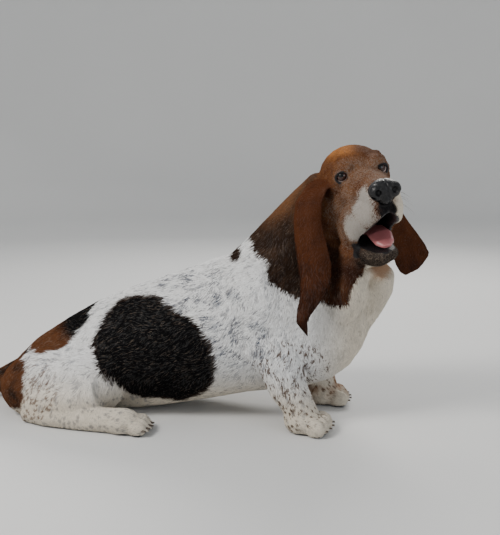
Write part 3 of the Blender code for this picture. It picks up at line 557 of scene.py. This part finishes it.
def onto_skin(places):
    """The nearest point of the skin to each place, and the way out of the skin there."""
    found = [tree.find_nearest(p)[:2] for p in places.tolist()]
    return (np.array([tuple(f[0]) for f in found]), np.array([tuple(f[1]) for f in found]))


loose = random.random(TUFTS)
mid, mid_out = onto_skin(roots + way * (length * 0.42)[:, None])
tip, tip_out = onto_skin(roots + way * length[:, None])
mid_out = unit(mid_out + outward)
side = np.cross(mid_out, way)
half = side * (width * 0.5)[:, None]
thick = width * 0.55 + 0.0002
reach = length * (0.05 + 0.11 * loose ** 3)
shape = np.stack([
    roots - outward * 0.0005,
    mid + half + mid_out * 0.0001,
    mid - half + mid_out * 0.0001,
    mid + mid_out * thick[:, None],
    tip + tip_out * reach[:, None],
], axis=1)
shape[:, :, 2] = np.maximum(shape[:, :, 2], 0.0002)
sheen = np.stack([outward, unit(mid_out + side * 0.8), unit(mid_out - side * 0.8), mid_out,
                  unit(tip_out + outward)], axis=1)
TUFT_FACES = np.array([(0, 3, 1), (0, 2, 3), (0, 1, 2), (4, 1, 3), (4, 3, 2), (4, 2, 1)])
TUFT_PATCH = np.array([(0, -0.5), (-0.4, 0), (0.4, 0), (0, 0.1), (0, 0.5)]) * PATCH

# The unwrap of the skin's own shape, on a coarse copy, tells where each tuft's patch lies
flat = bpy.data.objects.new("flat", skin.data.copy())
bpy.context.scene.collection.objects.link(flat)
thin = flat.modifiers.new("thin", "DECIMATE")
thin.ratio = 0.05
apply_modifiers(flat)
bpy.context.view_layer.objects.active = flat
bpy.ops.object.mode_set(mode="EDIT")
bpy.ops.mesh.select_all(action="SELECT")
bpy.ops.uv.smart_project(angle_limit=math.radians(66), island_margin=0.004)
bpy.ops.object.mode_set(mode="OBJECT")
flat_corners = triangle_corners(flat.data)
flat_uv = np.empty(len(flat.data.loops) * 2, np.float32)
flat.data.uv_layers.active.data.foreach_get("uv", flat_uv)
flat_uv = flat_uv.reshape(-1, 2)[triangle_corners(flat.data, "loops")]
flat_points = coordinates(flat.data)
flat_tree = BVHTree.FromPolygons(flat_points.tolist(), flat_corners.tolist())
found = [flat_tree.find_nearest(p) for p in roots.tolist()]
where = np.array([f[2] for f in found])
spot = np.array([tuple(f[0]) for f in found])
a, b, c = (flat_points[flat_corners[where, n]] for n in range(3))
cross = np.cross(b - a, c - a)
size = np.maximum((cross * cross).sum(axis=1), 1e-20)
w1 = (np.cross(spot - a, c - a) * cross).sum(axis=1) / size
w2 = (np.cross(b - a, spot - a) * cross).sum(axis=1) / size
mix = np.clip(np.stack([1 - w1 - w2, w1, w2], axis=1), 0, 1)[:, :, None]
root_uv = np.clip((flat_uv[where] * mix).sum(axis=1), 2 * PATCH, 1 - 2 * PATCH)
bpy.data.objects.remove(flat)


def add_attribute(mesh, name, values):
    """Gives each vertex a number or a place under a name that the materials read."""
    kind, key = ("FLOAT", "value") if values.ndim == 1 else ("FLOAT_VECTOR", "vector")
    layer = mesh.attributes.new(name, kind, "POINT")
    layer.data.foreach_set(key, values.astype(np.float32).ravel())


def lay_coat(name, chosen):
    """One piece of the coat, from the tufts chosen."""
    count = len(chosen)
    mesh = bpy.data.meshes.new(name)
    mesh.vertices.add(count * 5)
    mesh.vertices.foreach_set("co", shape[chosen].astype(np.float32).ravel())
    faces = (TUFT_FACES[None] + 5 * np.arange(count)[:, None, None]).reshape(-1, 3)
    mesh.loops.add(len(faces) * 3)
    mesh.loops.foreach_set("vertex_index", faces.astype(np.int32).ravel())
    mesh.polygons.add(len(faces))
    mesh.polygons.foreach_set("loop_start", np.arange(0, len(faces) * 3, 3, dtype=np.int32))
    mesh.update(calc_edges=True)
    for title, values in (("root", roots), ("ear", on_ear), ("shade", loose_shade)):
        add_attribute(mesh, title, np.repeat(values[chosen], 5, axis=0))
    layer = mesh.uv_layers.new(name="OFBake")
    spread = root_uv[chosen][:, None] + TUFT_PATCH[None]
    layer.data.foreach_set("uv", spread[:, TUFT_FACES].astype(np.float32).ravel())
    mesh.polygons.foreach_set("use_smooth", np.ones(len(faces), bool))
    mesh.normals_split_custom_set_from_vertices(sheen[chosen].reshape(-1, 3).tolist())
    piece = bpy.data.objects.new(name, mesh)
    bpy.context.scene.collection.objects.link(piece)
    return piece


loose_shade = random.random(TUFTS)
on_ear = ear_share(roots)
order = np.argsort(roots[:, 0])
coat = []
for n, chosen in enumerate(np.array_split(order, math.ceil(TUFTS / PIECE_TUFTS))):
    coat.append(lay_coat(f"coat_{n + 1}", chosen))


# The hide and the hair over it are coloured alike: black saddle, brown rump and head, roan
# shoulders, on white. Hair is drawn from the colour at its root.
class Field:
    """A value in a material. Arithmetic on it adds the nodes that work it out."""

    def __init__(self, tree, socket):
        self.tree, self.socket = tree, socket

    def node(self, kind, settings, inputs, output=0):
        """Any node: its settings first, then the values or links of its sockets."""
        made = self.tree.nodes.new("ShaderNode" + kind)
        for name, value in settings.items():
            setattr(made, name, value)
        for name, value in inputs.items():
            if isinstance(value, Field):
                self.tree.links.new(value.socket, made.inputs[name])
            else:
                made.inputs[name].default_value = value
        return Field(self.tree, made.outputs[output])

    def math(self, operation, *values):
        return self.node("Math", {"operation": operation}, dict(enumerate(values)))

    def __add__(self, other):
        return self.math("ADD", self, other)

    __radd__ = __add__

    def __sub__(self, other):
        return self.math("SUBTRACT", self, other)

    def __rsub__(self, other):
        return self.math("SUBTRACT", other, self)

    def __mul__(self, other):
        return self.math("MULTIPLY", self, other)

    __rmul__ = __mul__

    def higher(self, other):
        return self.math("MAXIMUM", self, other)

    def lower(self, other):
        return self.math("MINIMUM", self, other)

    def rise(self, low, high):
        """0 at low, 1 at high, smooth in between."""
        return self.node("MapRange", {"interpolation_type": "SMOOTHSTEP"},
                         {"Value": self, "From Min": low, "From Max": high})

    def vector(self, operation, *values, output=0):
        return self.node("VectorMath", {"operation": operation},
                         dict(enumerate((self,) + values)), output)

    def axis(self, name):
        return self.node("SeparateXYZ", {}, {0: self}, "XYZ".index(name))

    def noise(self, scale, detail=2.0, output=0):
        return self.node("TexNoise", {}, {"Vector": self, "Scale": scale, "Detail": detail},
                         output)

    def cells(self, scale, output=0):
        return self.node("TexVoronoi", {}, {"Vector": self, "Scale": scale}, output)

    def blend(self, under, over):
        """The colour under, with the colour over laid on it by this value."""
        return self.node("Mix", {"data_type": "RGBA"}, {0: self, 6: under, 7: over}, 2)


def patch(place, centre, radii, turn=0.0):
    """How far a place is from the middle of an egg-shaped patch: 1 at its edge. The patch may
    be turned about the axis from flank to flank."""
    local = place.node("Mapping", {"vector_type": "TEXTURE"}, {
        "Vector": place, "Location": centre, "Rotation": (0, math.radians(turn), 0),
        "Scale": radii})
    return local.vector("LENGTH", output=1)


def hair(r, g, b):
    return (r, g, b, 1.0)


WHITE = hair(0.80, 0.805, 0.81)
CREAM = hair(0.66, 0.58, 0.45)
SLATE = hair(0.065, 0.078, 0.110)
BLACK = hair(0.0028, 0.0027, 0.0032)
DARK = hair(0.022, 0.012, 0.008)
BROWN = hair(0.098, 0.038, 0.016)
TAN = hair(0.26, 0.125, 0.058)
CHESTNUT = hair(0.082, 0.027, 0.011)
UMBER = hair(0.032, 0.012, 0.007)
# painted light: the gold that the light throws on the crown
CROWN_LIGHT_GOLD = hair(0.50, 0.20, 0.058)
AMBER = hair(0.175, 0.075, 0.030)
GRIZZLE = hair(0.25, 0.195, 0.155)
LIP = hair(0.010, 0.009, 0.010)
ROSE = hair(0.30, 0.10, 0.09)


def markings(place, fleck, ears):
    """The colour of the hair at a place. Fleck is the chance that picks single hairs."""
    near = place
    for scale, detail, reach in ((26, 3, 0.030), (150, 2, 0.010)):
        drift = place.noise(scale, detail, 1).vector("SUBTRACT", (0.5, 0.5, 0.5))
        near = near.vector("ADD", drift.vector("MULTIPLY", (reach, reach, reach)))
    x, y, z = place.axis("X"), place.axis("Y"), place.axis("Z")
    side = near.axis("Y")
    head = near.node("Mapping", {"vector_type": "TEXTURE"}, {
        "Vector": near, "Location": tuple(HEAD.translation), "Rotation": tuple(HEAD.to_euler())})
    # white ground, creamy on chest, belly and legs
    cream = (1 - z.rise(0.03, 0.12)).higher(x.rise(0.29, 0.38))
    colour = (cream * 0.8).blend(WHITE, CREAM)
    # blue roan behind the shoulder and over the ribs, dark hairs among the white
    wide = place.noise(42, 3)
    roan = 1 - patch(near, (0.155, 0.03, 0.185), (0.155, 0.30, 0.075), 32).rise(0.50, 1.10)
    roan = roan.higher((1 - patch(near, (-0.14, 0.03, 0.10), (0.12, 0.20, 0.07)).rise(
        0.5, 1.1)) * 0.30)
    chest = x.rise(0.27, 0.34)
    roan = roan.higher(0.10) * wide.rise(0.42, 0.66) * (0.62 - chest * 0.54)
    shadow = place.noise(24, 3).rise(0.50, 0.68) * roan.rise(0.05, 0.35) * 0.45
    colour = shadow.blend(colour, hair(0.20, 0.235, 0.29))
    colour = ((roan - fleck).rise(-0.10, 0.12) * 0.80).blend(colour, SLATE)
    # ticking: small spots of dark hair, thick over the ribs, brown on the legs
    cell = place.cells(125)
    chance = place.cells(125, 1).axis("X")
    dot = (chance * 0.58 - 0.04 - cell + (fleck - 0.5) * 0.16).rise(-0.03, 0.05)
    colour = (dot * (0.45 + roan) * (1 - chest * 0.85)).blend(colour, SLATE)
    legs = 1 - patch(near, (0.275, -0.10, 0.085), (0.075, 0.06, 0.085)).lower(
        patch(near, (0.320, 0.09, 0.070), (0.070, 0.06, 0.080))).rise(0.85, 1.10)
    spot = place.cells(165)
    size = place.cells(165, 1).axis("Y")
    spot = (size * 0.66 - 0.03 - spot + (fleck - 0.5) * 0.10).rise(-0.02, 0.04)
    colour = (spot * (legs + 0.10).lower(1.0) * 0.9).blend(colour, hair(0.085, 0.050, 0.034))
    haunch = 1 - patch(near, (-0.170, -0.09, 0.050), (0.070, 0.08, 0.060)).rise(0.8, 1.1)
    colour = (spot * haunch * 0.7).blend(colour, BROWN)
    far_leg = legs * y.rise(0.02, 0.05) * place.noise(30, 2).rise(0.40, 0.60) * 0.7
    colour = far_leg.blend(colour, TAN)
    # the saddle on each flank, black with a little brown at its edge
    saddle = patch(near, (0.040, -0.09, 0.125), (0.113, 9, 0.087), 27)
    saddle = saddle.higher(side.rise(-0.030, -0.010) * 2)
    other = patch(near, (0.020, 0.16, 0.130), (0.130, 9, 0.080), 18)
    saddle = saddle.lower(other.higher(2 - side.rise(0.055, 0.080) * 2))
    colour = (1 - saddle.rise(0.97, 1.04)).blend(colour, DARK)
    colour = (1 - saddle.rise(0.92, 0.99)).blend(colour, BLACK)
    # the rump, dark over the spine and brown below, and the brown tail and buttocks
    rump = patch(near, (-0.163, 0.029, 0.174), (0.080, 0.150, 0.077))
    top = (z + (place.noise(50, 2) - 0.5) * 0.03 + x * 0.30).rise(0.092, 0.118)
    colour = (1 - rump.rise(0.94, 1.02)).blend(colour, top.blend(BROWN, BLACK))
    tail = patch(near, (-0.245, 0.0, 0.066), (0.068, 0.30, 0.058)).lower(
        patch(near, (-0.36, 0.04, 0.04), (0.105, 0.08, 0.08)))
    colour = (1 - tail.rise(0.93, 1.02)).blend(
        colour, place.noise(30, 3).rise(0.40, 0.65).blend(BROWN, DARK))
    colour = (1 - patch(near, (0.172, 0.0, 0.292), (0.014, 0.06, 0.014)).rise(0.8, 1.1)).blend(
        colour, DARK)
    # the neck: dark behind the ear, brown under the cheek, and orange-brown painted light along
    # the top of the nape
    neck = patch(near, (0.290, -0.030, 0.345), (0.100, 0.130, 0.085))
    neck = neck.lower(patch(near, (0.300, -0.070, 0.300), (0.075, 0.075, 0.074)))
    neck = neck.lower(patch(near, (0.343, -0.085, 0.300), (0.052, 0.068, 0.085)))
    neck = neck.lower(patch(near, (0.300, 0.000, 0.388), (0.070, 0.085, 0.066)))
    inner = place.noise(60, 3) + fleck * 0.12
    deep = inner.rise(0.45, 0.85).blend(DARK, hair(0.055, 0.030, 0.018))
    front = (x + (place.noise(35, 2) - 0.5) * 0.06).rise(0.300, 0.335)
    deep = front.blend(deep, inner.rise(0.40, 0.90).blend(UMBER, BROWN))
    colour = (1 - neck.rise(0.95, 1.01)).blend(colour, deep)
    # painted light: the top of the nape lighter and orange-brown, where the light falls on it
    nape_light = 1 - patch(near, (0.275, 0.000, 0.390), (0.100, 0.080, 0.070)).rise(0.45, 1.10)
    colour = (nape_light * (0.45 + fleck * 0.5)).blend(colour, hair(0.19, 0.085, 0.038))
    # the throat's far fold: tan hair with a painted orange highlight where it leaves the jaw
    knob_highlight = 1 - patch(near, (0.414, -0.070, 0.290), (0.026, 0.040, 0.036)).rise(0.55, 1.1)
    colour = (knob_highlight * 0.8).blend(colour, hair(0.33, 0.165, 0.075))
    # the head: chestnut, with gold painted light where the light falls on the crown
    skull = 1 - patch(head, (-0.015, 0, -0.035), (0.150, 0.095, 0.110)).rise(0.93, 1.0)
    skull = skull * x.rise(0.305, 0.318)
    speck = (fleck * 0.45 + place.noise(70, 3) * 0.9).rise(0.45, 1.05)
    colour = skull.blend(colour, speck.blend(CHESTNUT, AMBER))
    # painted light: a gold pool over the crown, where the light falls on it
    crown_light = 1 - patch(head, (-0.055, -0.018, 0.052), (0.070, 0.048, 0.036)).rise(0.40, 1.1)
    colour = (crown_light * (0.45 + speck * 0.55)).blend(colour, CROWN_LIGHT_GOLD)
    dusk = 1 - patch(head, (-0.015, 0.022, 0.040), (0.040, 0.030, 0.030)).rise(0.5, 1.1)
    colour = (dusk * 0.65).blend(colour, BROWN)
    # grey hairs round the eyes, up the brow, over the bridge and down the cheek
    grey = 1 - patch(head, (0.020, 0, 0.000), (0.062, 0.060, 0.034)).rise(0.55, 1.1)
    grey = grey.higher(1 - patch(head, (0.020, -0.045, -0.060), (0.060, 0.040, 0.060)).rise(
        0.6, 1.15))
    grey = grey.higher(1 - patch(head, (0.095, 0.0, 0.000), (0.040, 0.040, 0.018)).rise(
        0.7, 1.1))
    colour = ((grey * 0.50 - fleck).rise(-0.16, 0.16) * 0.60).blend(colour, GRIZZLE)
    # white on the muzzle's side, cream on the far lip
    muzzle = patch(head, (0.086, -0.034, -0.042), (0.040, 0.040, 0.040))
    muzzle = muzzle.lower(patch(head, (0.052, -0.040, -0.078), (0.042, 0.034, 0.030)))
    muzzle = (1 - muzzle.rise(0.45, 1.15)) * 1.15 - (1 - fleck) * 0.70
    colour = (muzzle.rise(0.00, 0.55) * 0.84).blend(colour, hair(0.45, 0.425, 0.39))
    lip = 1 - patch(head, (0.085, 0.034, -0.052), (0.050, 0.032, 0.048)).rise(0.80, 1.05)
    colour = lip.blend(colour, hair(0.72, 0.65, 0.54))
    # black hair beside the nose and down the groove below it, and along the lips
    groove = patch(head, (0.108, 0.001, -0.048), (0.030, 0.0105, 0.029))
    colour = (1 - groove.rise(0.80, 1.10)).blend(colour, LIP)
    chin = 1 - patch(head, (0.045, -0.004, -0.130), (0.060, 0.045, 0.026)).rise(0.75, 1.05)
    colour = chin.blend(colour, fleck.rise(0.55, 0.95).blend(
        hair(0.030, 0.022, 0.018), hair(0.13, 0.10, 0.075)))
    # the ears, deep chestnut, darker down their length
    ear = (place.noise(40, 3) * 0.9 + z.rise(0.16, 0.42) * 0.5 + fleck * 0.2).rise(0.45, 1.05)
    return ears.blend(colour, ear.blend(UMBER, CHESTNUT))


def material(name, roughness, **constants):
    made = bpy.data.materials.new(name)
    made.use_nodes = True
    shader = made.node_tree.nodes["Principled BSDF"]
    shader.inputs["Roughness"].default_value = roughness
    for socket, value in constants.items():
        shader.inputs[socket.replace("_", " ")].default_value = value
    return made, shader


def source(made, kind, settings, output):
    """A first value in a material: a place or an attribute."""
    node = made.node_tree.nodes.new("ShaderNode" + kind)
    for name, value in settings.items():
        setattr(node, name, value)
    return Field(made.node_tree, node.outputs[output])


def attribute(made, name, output="Fac"):
    return source(made, "Attribute", {"attribute_name": name}, output)


def wire(made, shader, values):
    for name, value in values.items():
        made.node_tree.links.new(value.socket, shader.inputs[name])


def bump(height, distance, strength=1.0):
    return height.node("Bump", {}, {"Height": height, "Distance": distance,
                                    "Strength": strength})


hide, shader = material("hide", 0.62, Specular_IOR_Level=0.25)
place = source(hide, "TexCoord", {}, "Object")
bare = attribute(hide, "bare")
fleck = place.noise(650, 1).rise(0.30, 0.70)
colour = markings(place, fleck, attribute(hide, "ear"))
strand = place.noise(900, 2)
colour = (strand * 0.5).blend(colour, colour.vector("MULTIPLY", (0.55, 0.52, 0.50)))
haw = bare.rise(1.35, 1.85)
colour = bare.rise(0.2, 0.8).blend(colour, haw.blend(LIP, ROSE))
rough = 0.66 - bare.rise(0.3, 0.9) * 0.32
wire(hide, shader, {"Base Color": colour, "Roughness": rough,
                    "Normal": bump(strand + place.noise(260, 2) * 0.7, 0.0006)})
skin.data.materials.append(hide)
points = coordinates(skin.data)
for name, share in (("bare", bare_share(points, normals(skin.data))),
                    ("ear", ear_share(points))):
    add_attribute(skin.data, name, share)
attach(skin, "root")
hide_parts(*FLESH)

fur, shader = material("fur", 0.80, Specular_IOR_Level=0.06)
place = attribute(fur, "root", "Vector")
shade = attribute(fur, "shade")
colour = markings(place, shade, attribute(fur, "ear"))
light = (shade * 7.3).math("FRACT", shade * 7.3)
colour = (light * 0.45).blend(colour, colour.vector("MULTIPLY", (0.60, 0.57, 0.55)))
wire(fur, shader, {"Base Color": colour})
for piece in coat:
    piece.data.materials.append(fur)
    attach(piece, "root")


# ---- The eyes ----
# Brown eyes in deep loose lids: round balls with a bulging clear cornea over a wide dark
# pupil, their whites browned at the rim, wet all over.

GAZE = {"right": (0.88, -0.34, 0.34), "left": (0.92, -0.02, 0.36)}
CORNEA_EDGE = 0.78
CORNEA_RISE = 0.075


def eyeball(word):
    bm = bmesh.new()
    bmesh.ops.create_uvsphere(bm, u_segments=64, v_segments=48, radius=EYE_RADIUS)
    gaze = (HEAD.to_3x3() @ Vector(GAZE[word])).normalized()
    for vert in bm.verts:
        forward = (vert.co.normalized().z - CORNEA_EDGE) / (1 - CORNEA_EDGE)
        vert.co *= 1 + CORNEA_RISE * max(forward, 0) ** 0.8
    turn = gaze.to_track_quat("Z", "Y").to_matrix().to_4x4()
    bmesh.ops.transform(bm, matrix=Matrix.Translation(EYES[word]) @ turn, verts=bm.verts)
    ball = mesh_object(bm, f"eyeball_{word}")
    ball.data.shade_smooth()
    made, shader = material(f"eye_{word}", 0.12, Coat_Weight=0.55, Coat_Roughness=0.02,
                            Specular_IOR_Level=0.15)
    place = source(made, "TexCoord", {}, "Object")
    out = place.vector("SUBTRACT", tuple(EYES[word])).vector("NORMALIZE")
    facing = out.vector("DOT_PRODUCT", tuple(gaze), output=1)
    fibres = out.noise(28, 4)
    iris = facing.rise(0.66, 0.92).blend(hair(0.006, 0.003, 0.003), hair(0.040, 0.014, 0.010))
    iris = (fibres.rise(0.35, 0.70) * 0.40).blend(iris, hair(0.070, 0.028, 0.020))
    white = facing.rise(0.30, 0.70).blend(hair(0.26, 0.15, 0.13), hair(0.40, 0.33, 0.31))
    white = (place.noise(420, 3).rise(0.58, 0.72) * 0.5).blend(white, hair(0.30, 0.07, 0.06))
    colour = facing.rise(0.62, 0.67).blend(white, iris)
    colour = facing.rise(0.925, 0.950).blend(colour, hair(0.002, 0.002, 0.002))
    wire(made, shader, {"Base Color": colour})
    ball.data.materials.append(made)
    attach(ball, "root")
    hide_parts(f"eye_{word}")


for word in SIDES:
    eyeball(word)


# ---- The nose ----
# A broad black leather pad, finely pebbled and moist, with comma nostrils and a groove down
# its middle.

GROOVE_WIDTH = 0.0011
GROOVE_DEPTH = 0.0012

nose = mesh_object(node_copy("nose", 0.0), "nose_leather")
remesh(nose, 0.0008, 4)
points = coordinates(nose.data)
local = in_head(points)
groove = np.exp(-(local[:, 1] / GROOVE_WIDTH) ** 2) * rise(local[:, 0], 0.100, 0.106)
points -= normals(nose.data) * (groove * GROOVE_DEPTH)[:, None]
set_coordinates(nose.data, points)
nose.data.shade_smooth()
leather, shader = material("nose_skin", 0.34, Coat_Weight=0.22, Coat_Roughness=0.20,
                           Specular_IOR_Level=0.22)
place = source(leather, "TexCoord", {}, "Object")
pebble = place.cells(720)
colour = pebble.rise(0.1, 0.7).blend(hair(0.008, 0.0075, 0.009), hair(0.004, 0.004, 0.0045))
wire(leather, shader, {"Base Color": colour, "Roughness": 0.30 + place.noise(90, 2) * 0.25,
                       "Normal": bump(1 - pebble, 0.0004)})
nose.data.materials.append(leather)
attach(nose, "root")
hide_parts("nose")


# ---- The tongue ----
# A flat pink tongue that rests behind the lower lip, covered in fine papillae and wet with
# spit.

tongue = mesh_object(node_copy("tongue", 0.0), "tongue_skin")
remesh(tongue, 0.0009, 6)
tongue.data.shade_smooth()
flesh, shader = material("tongue_flesh", 0.38, Coat_Weight=0.5, Coat_Roughness=0.15)
place = source(flesh, "TexCoord", {}, "Object")
colour = place.noise(110, 3).blend(hair(0.40, 0.105, 0.115), hair(0.55, 0.20, 0.20))
wire(flesh, shader, {"Base Color": colour, "Normal": bump(1 - place.cells(950), 0.0003)})
tongue.data.materials.append(flesh)
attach(tongue, "root")
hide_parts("tongue")


# ---- The claws ----
# Blunt dark horn claws, one to each toe, that curve down out of the hair.

FOREPAW = (0.088, 0.072, 0.048)
HINDPAW = (0.084, 0.062, 0.042)
CLAW_LENGTH = 0.013
PAWS = [
    ("claws_fore_right", FOREPAW, (0.296, -0.090, 0), -10),
    ("claws_fore_left", FOREPAW, (0.322, 0.075, 0), 4),
    ("claws_hind_right", HINDPAW, (-0.003, -0.135, 0), -4),
    ("claws_hind_left", HINDPAW, (-0.003, 0.193, 0), 4),
]
horn, shader = material("horn", 0.36, Coat_Weight=0.2, Coat_Roughness=0.2)
place = source(horn, "TexCoord", {}, "Object")
colour = place.noise(180, 3).blend(hair(0.020, 0.014, 0.011), hair(0.11, 0.075, 0.05))
wire(horn, shader, {"Base Color": colour, "Normal": bump(place.noise(900, 2), 0.0002)})
for name, (long, broad, tall), spot, heading in PAWS:
    bm = bmesh.new()
    paw = Matrix.Translation(spot) @ Matrix.Rotation(math.radians(heading), 4, "Z")
    for n in range(4):
        fan = (n - 1.5) / 1.5
        toe = Vector((long * (0.34 * (1 - 0.16 * abs(fan)) + 0.17), broad * 0.35 * fan,
                      tall * 0.26))
        claw = bmesh.new()
        bmesh.ops.create_cone(claw, cap_ends=True, segments=12, radius1=0.0032,
                              radius2=0.0013, depth=CLAW_LENGTH)
        sides = [e for e in claw.edges if abs(e.verts[0].co.z - e.verts[1].co.z) > 0.005]
        bmesh.ops.subdivide_edges(claw, edges=sides, cuts=3, use_grid_fill=True)
        for vert in claw.verts:
            vert.co.x -= 15 * (vert.co.z + CLAW_LENGTH / 2) ** 2
        lean = Matrix.Rotation(math.radians(10 * fan), 4, "Z") @ Matrix.Rotation(
            math.radians(104), 4, "Y")
        bmesh.ops.transform(claw, matrix=paw @ Matrix.Translation(toe) @ lean,
                            verts=claw.verts)
        add_mesh(bm, claw)
    bmesh.ops.recalc_face_normals(bm, faces=bm.faces)
    claws = mesh_object(bm, name)
    claws.data.shade_smooth()
    claws.data.materials.append(horn)
    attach(claws, "root")


# ---- The whiskers ----
# A few fine stiff bristles, that stand out of the muzzle's sides.

whisker_hair, shader = material("whisker_hair", 0.35)
place = source(whisker_hair, "TexCoord", {}, "Object")
wire(whisker_hair, shader, {"Base Color": place.noise(300, 1).blend(
    hair(0.02, 0.016, 0.014), hair(0.30, 0.26, 0.22))})
bm = bmesh.new()
chance = np.random.default_rng(5)
for s in (-1, 1):
    for n in range(9):
        row, col = divmod(n, 3)
        start = Vector((0.082 - 0.014 * col, 0.030 * s, -0.030 - 0.011 * row))
        hit, out, _, _ = tree.find_nearest(HEAD @ start)
        lean = HEAD.to_3x3() @ Vector((-0.55 - 0.1 * col, 0.25 * s, -0.35 - 0.15 * row))
        path = []
        for step in range(6):
            t = step / 5
            path.append(hit + (out * 0.55 + lean.normalized() * (0.6 + 0.5 * t))
                        * (0.026 + 0.010 * chance.random()) * t - Vector((0, 0, 0.004 * t * t)))
        if chance.random() < 0.1:
            continue
        path[0] = hit - out * 0.001
        taper = [0.00022 * (1 - 0.85 * k / 5) for k in range(6)]
        sweep(bm, path, [out.orthogonal()] * 6, taper, taper, ring_count=4)
bmesh.ops.recalc_face_normals(bm, faces=bm.faces)
whiskers = mesh_object(bm, "whiskers")
whiskers.data.materials.append(whisker_hair)
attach(whiskers, "root")


# ---- The studio ----
# A pale floor that curves up behind, under soft light: a warm key from the upper left, a wide
# fill, and a light from behind that lifts the edge of the coat.

bm = bmesh.new()
rim = bmesh.ops.create_circle(bm, cap_ends=False, segments=96, radius=0.05)["verts"]
for grow, lift in ((60, 0), (1.18, 0.06), (1.08, 0.22), (1.03, 0.42), (1.0, 1.6)):
    edges = [e for e in bm.edges if len(e.link_faces) < 2 and e.verts[0] in rim
             and e.verts[1] in rim]
    made = bmesh.ops.extrude_edge_only(bm, edges=edges)["geom"]
    rim = [v for v in made if isinstance(v, bmesh.types.BMVert)]
    bmesh.ops.scale(bm, vec=(grow, grow, 1), verts=rim)
    bmesh.ops.translate(bm, vec=(0, 0, lift), verts=rim)
bmesh.ops.holes_fill(bm, edges=[e for e in bm.edges if e.is_boundary
                                and e.verts[0].co.length < 0.1], sides=0)
bmesh.ops.recalc_face_normals(bm, faces=bm.faces)
bmesh.ops.reverse_faces(bm, faces=bm.faces)
floor = mesh_object(bm, "floor")
floor.data.shade_smooth()
paper, shader = material("paper", 0.85)
place = source(paper, "TexCoord", {}, "Object")
wire(paper, shader, {"Base Color": place.noise(1.5, 2).blend(
    hair(0.66, 0.66, 0.655), hair(0.70, 0.70, 0.695))})
floor.data.materials.append(paper)


def softbox(name, place, aim, size, power, colour):
    light = bpy.data.lights.new(name, "AREA")
    light.shape = "RECTANGLE"
    light.size, light.size_y = size
    light.energy = power
    light.color = colour
    lamp = bpy.data.objects.new(name, light)
    bpy.context.scene.collection.objects.link(lamp)
    lamp.location = place
    lamp.rotation_euler = (Vector(aim) - Vector(place)).to_track_quat("-Z", "Y").to_euler()


softbox("key", (-1.3, -1.5, 2.0), (0.1, 0, 0.2), (0.9, 0.9), 62, (1.0, 0.97, 0.92))
softbox("fill", (2.2, -1.8, 1.0), (0.2, 0, 0.2), (1.6, 1.4), 15, (0.92, 0.96, 1.0))
softbox("back", (0.5, 1.9, 1.9), (0.1, 0, 0.2), (1.4, 0.8), 42, (1.0, 0.97, 0.92))
world = bpy.data.worlds.new("studio")
world.use_nodes = True
world.node_tree.nodes["Background"].inputs["Color"].default_value = (0.80, 0.84, 0.88, 1)
world.node_tree.nodes["Background"].inputs["Strength"].default_value = 0.55
bpy.context.scene.world = world

camera = bpy.data.objects.new("camera", bpy.data.cameras.new("camera"))
bpy.context.scene.collection.objects.link(camera)
camera.location = (0.3888, -1.4069, 0.470)
camera.rotation_euler = (math.radians(81.77), 0, math.radians(8))
camera.data.lens = 54.64
camera.data.sensor_width = 36
bpy.context.scene.camera = camera
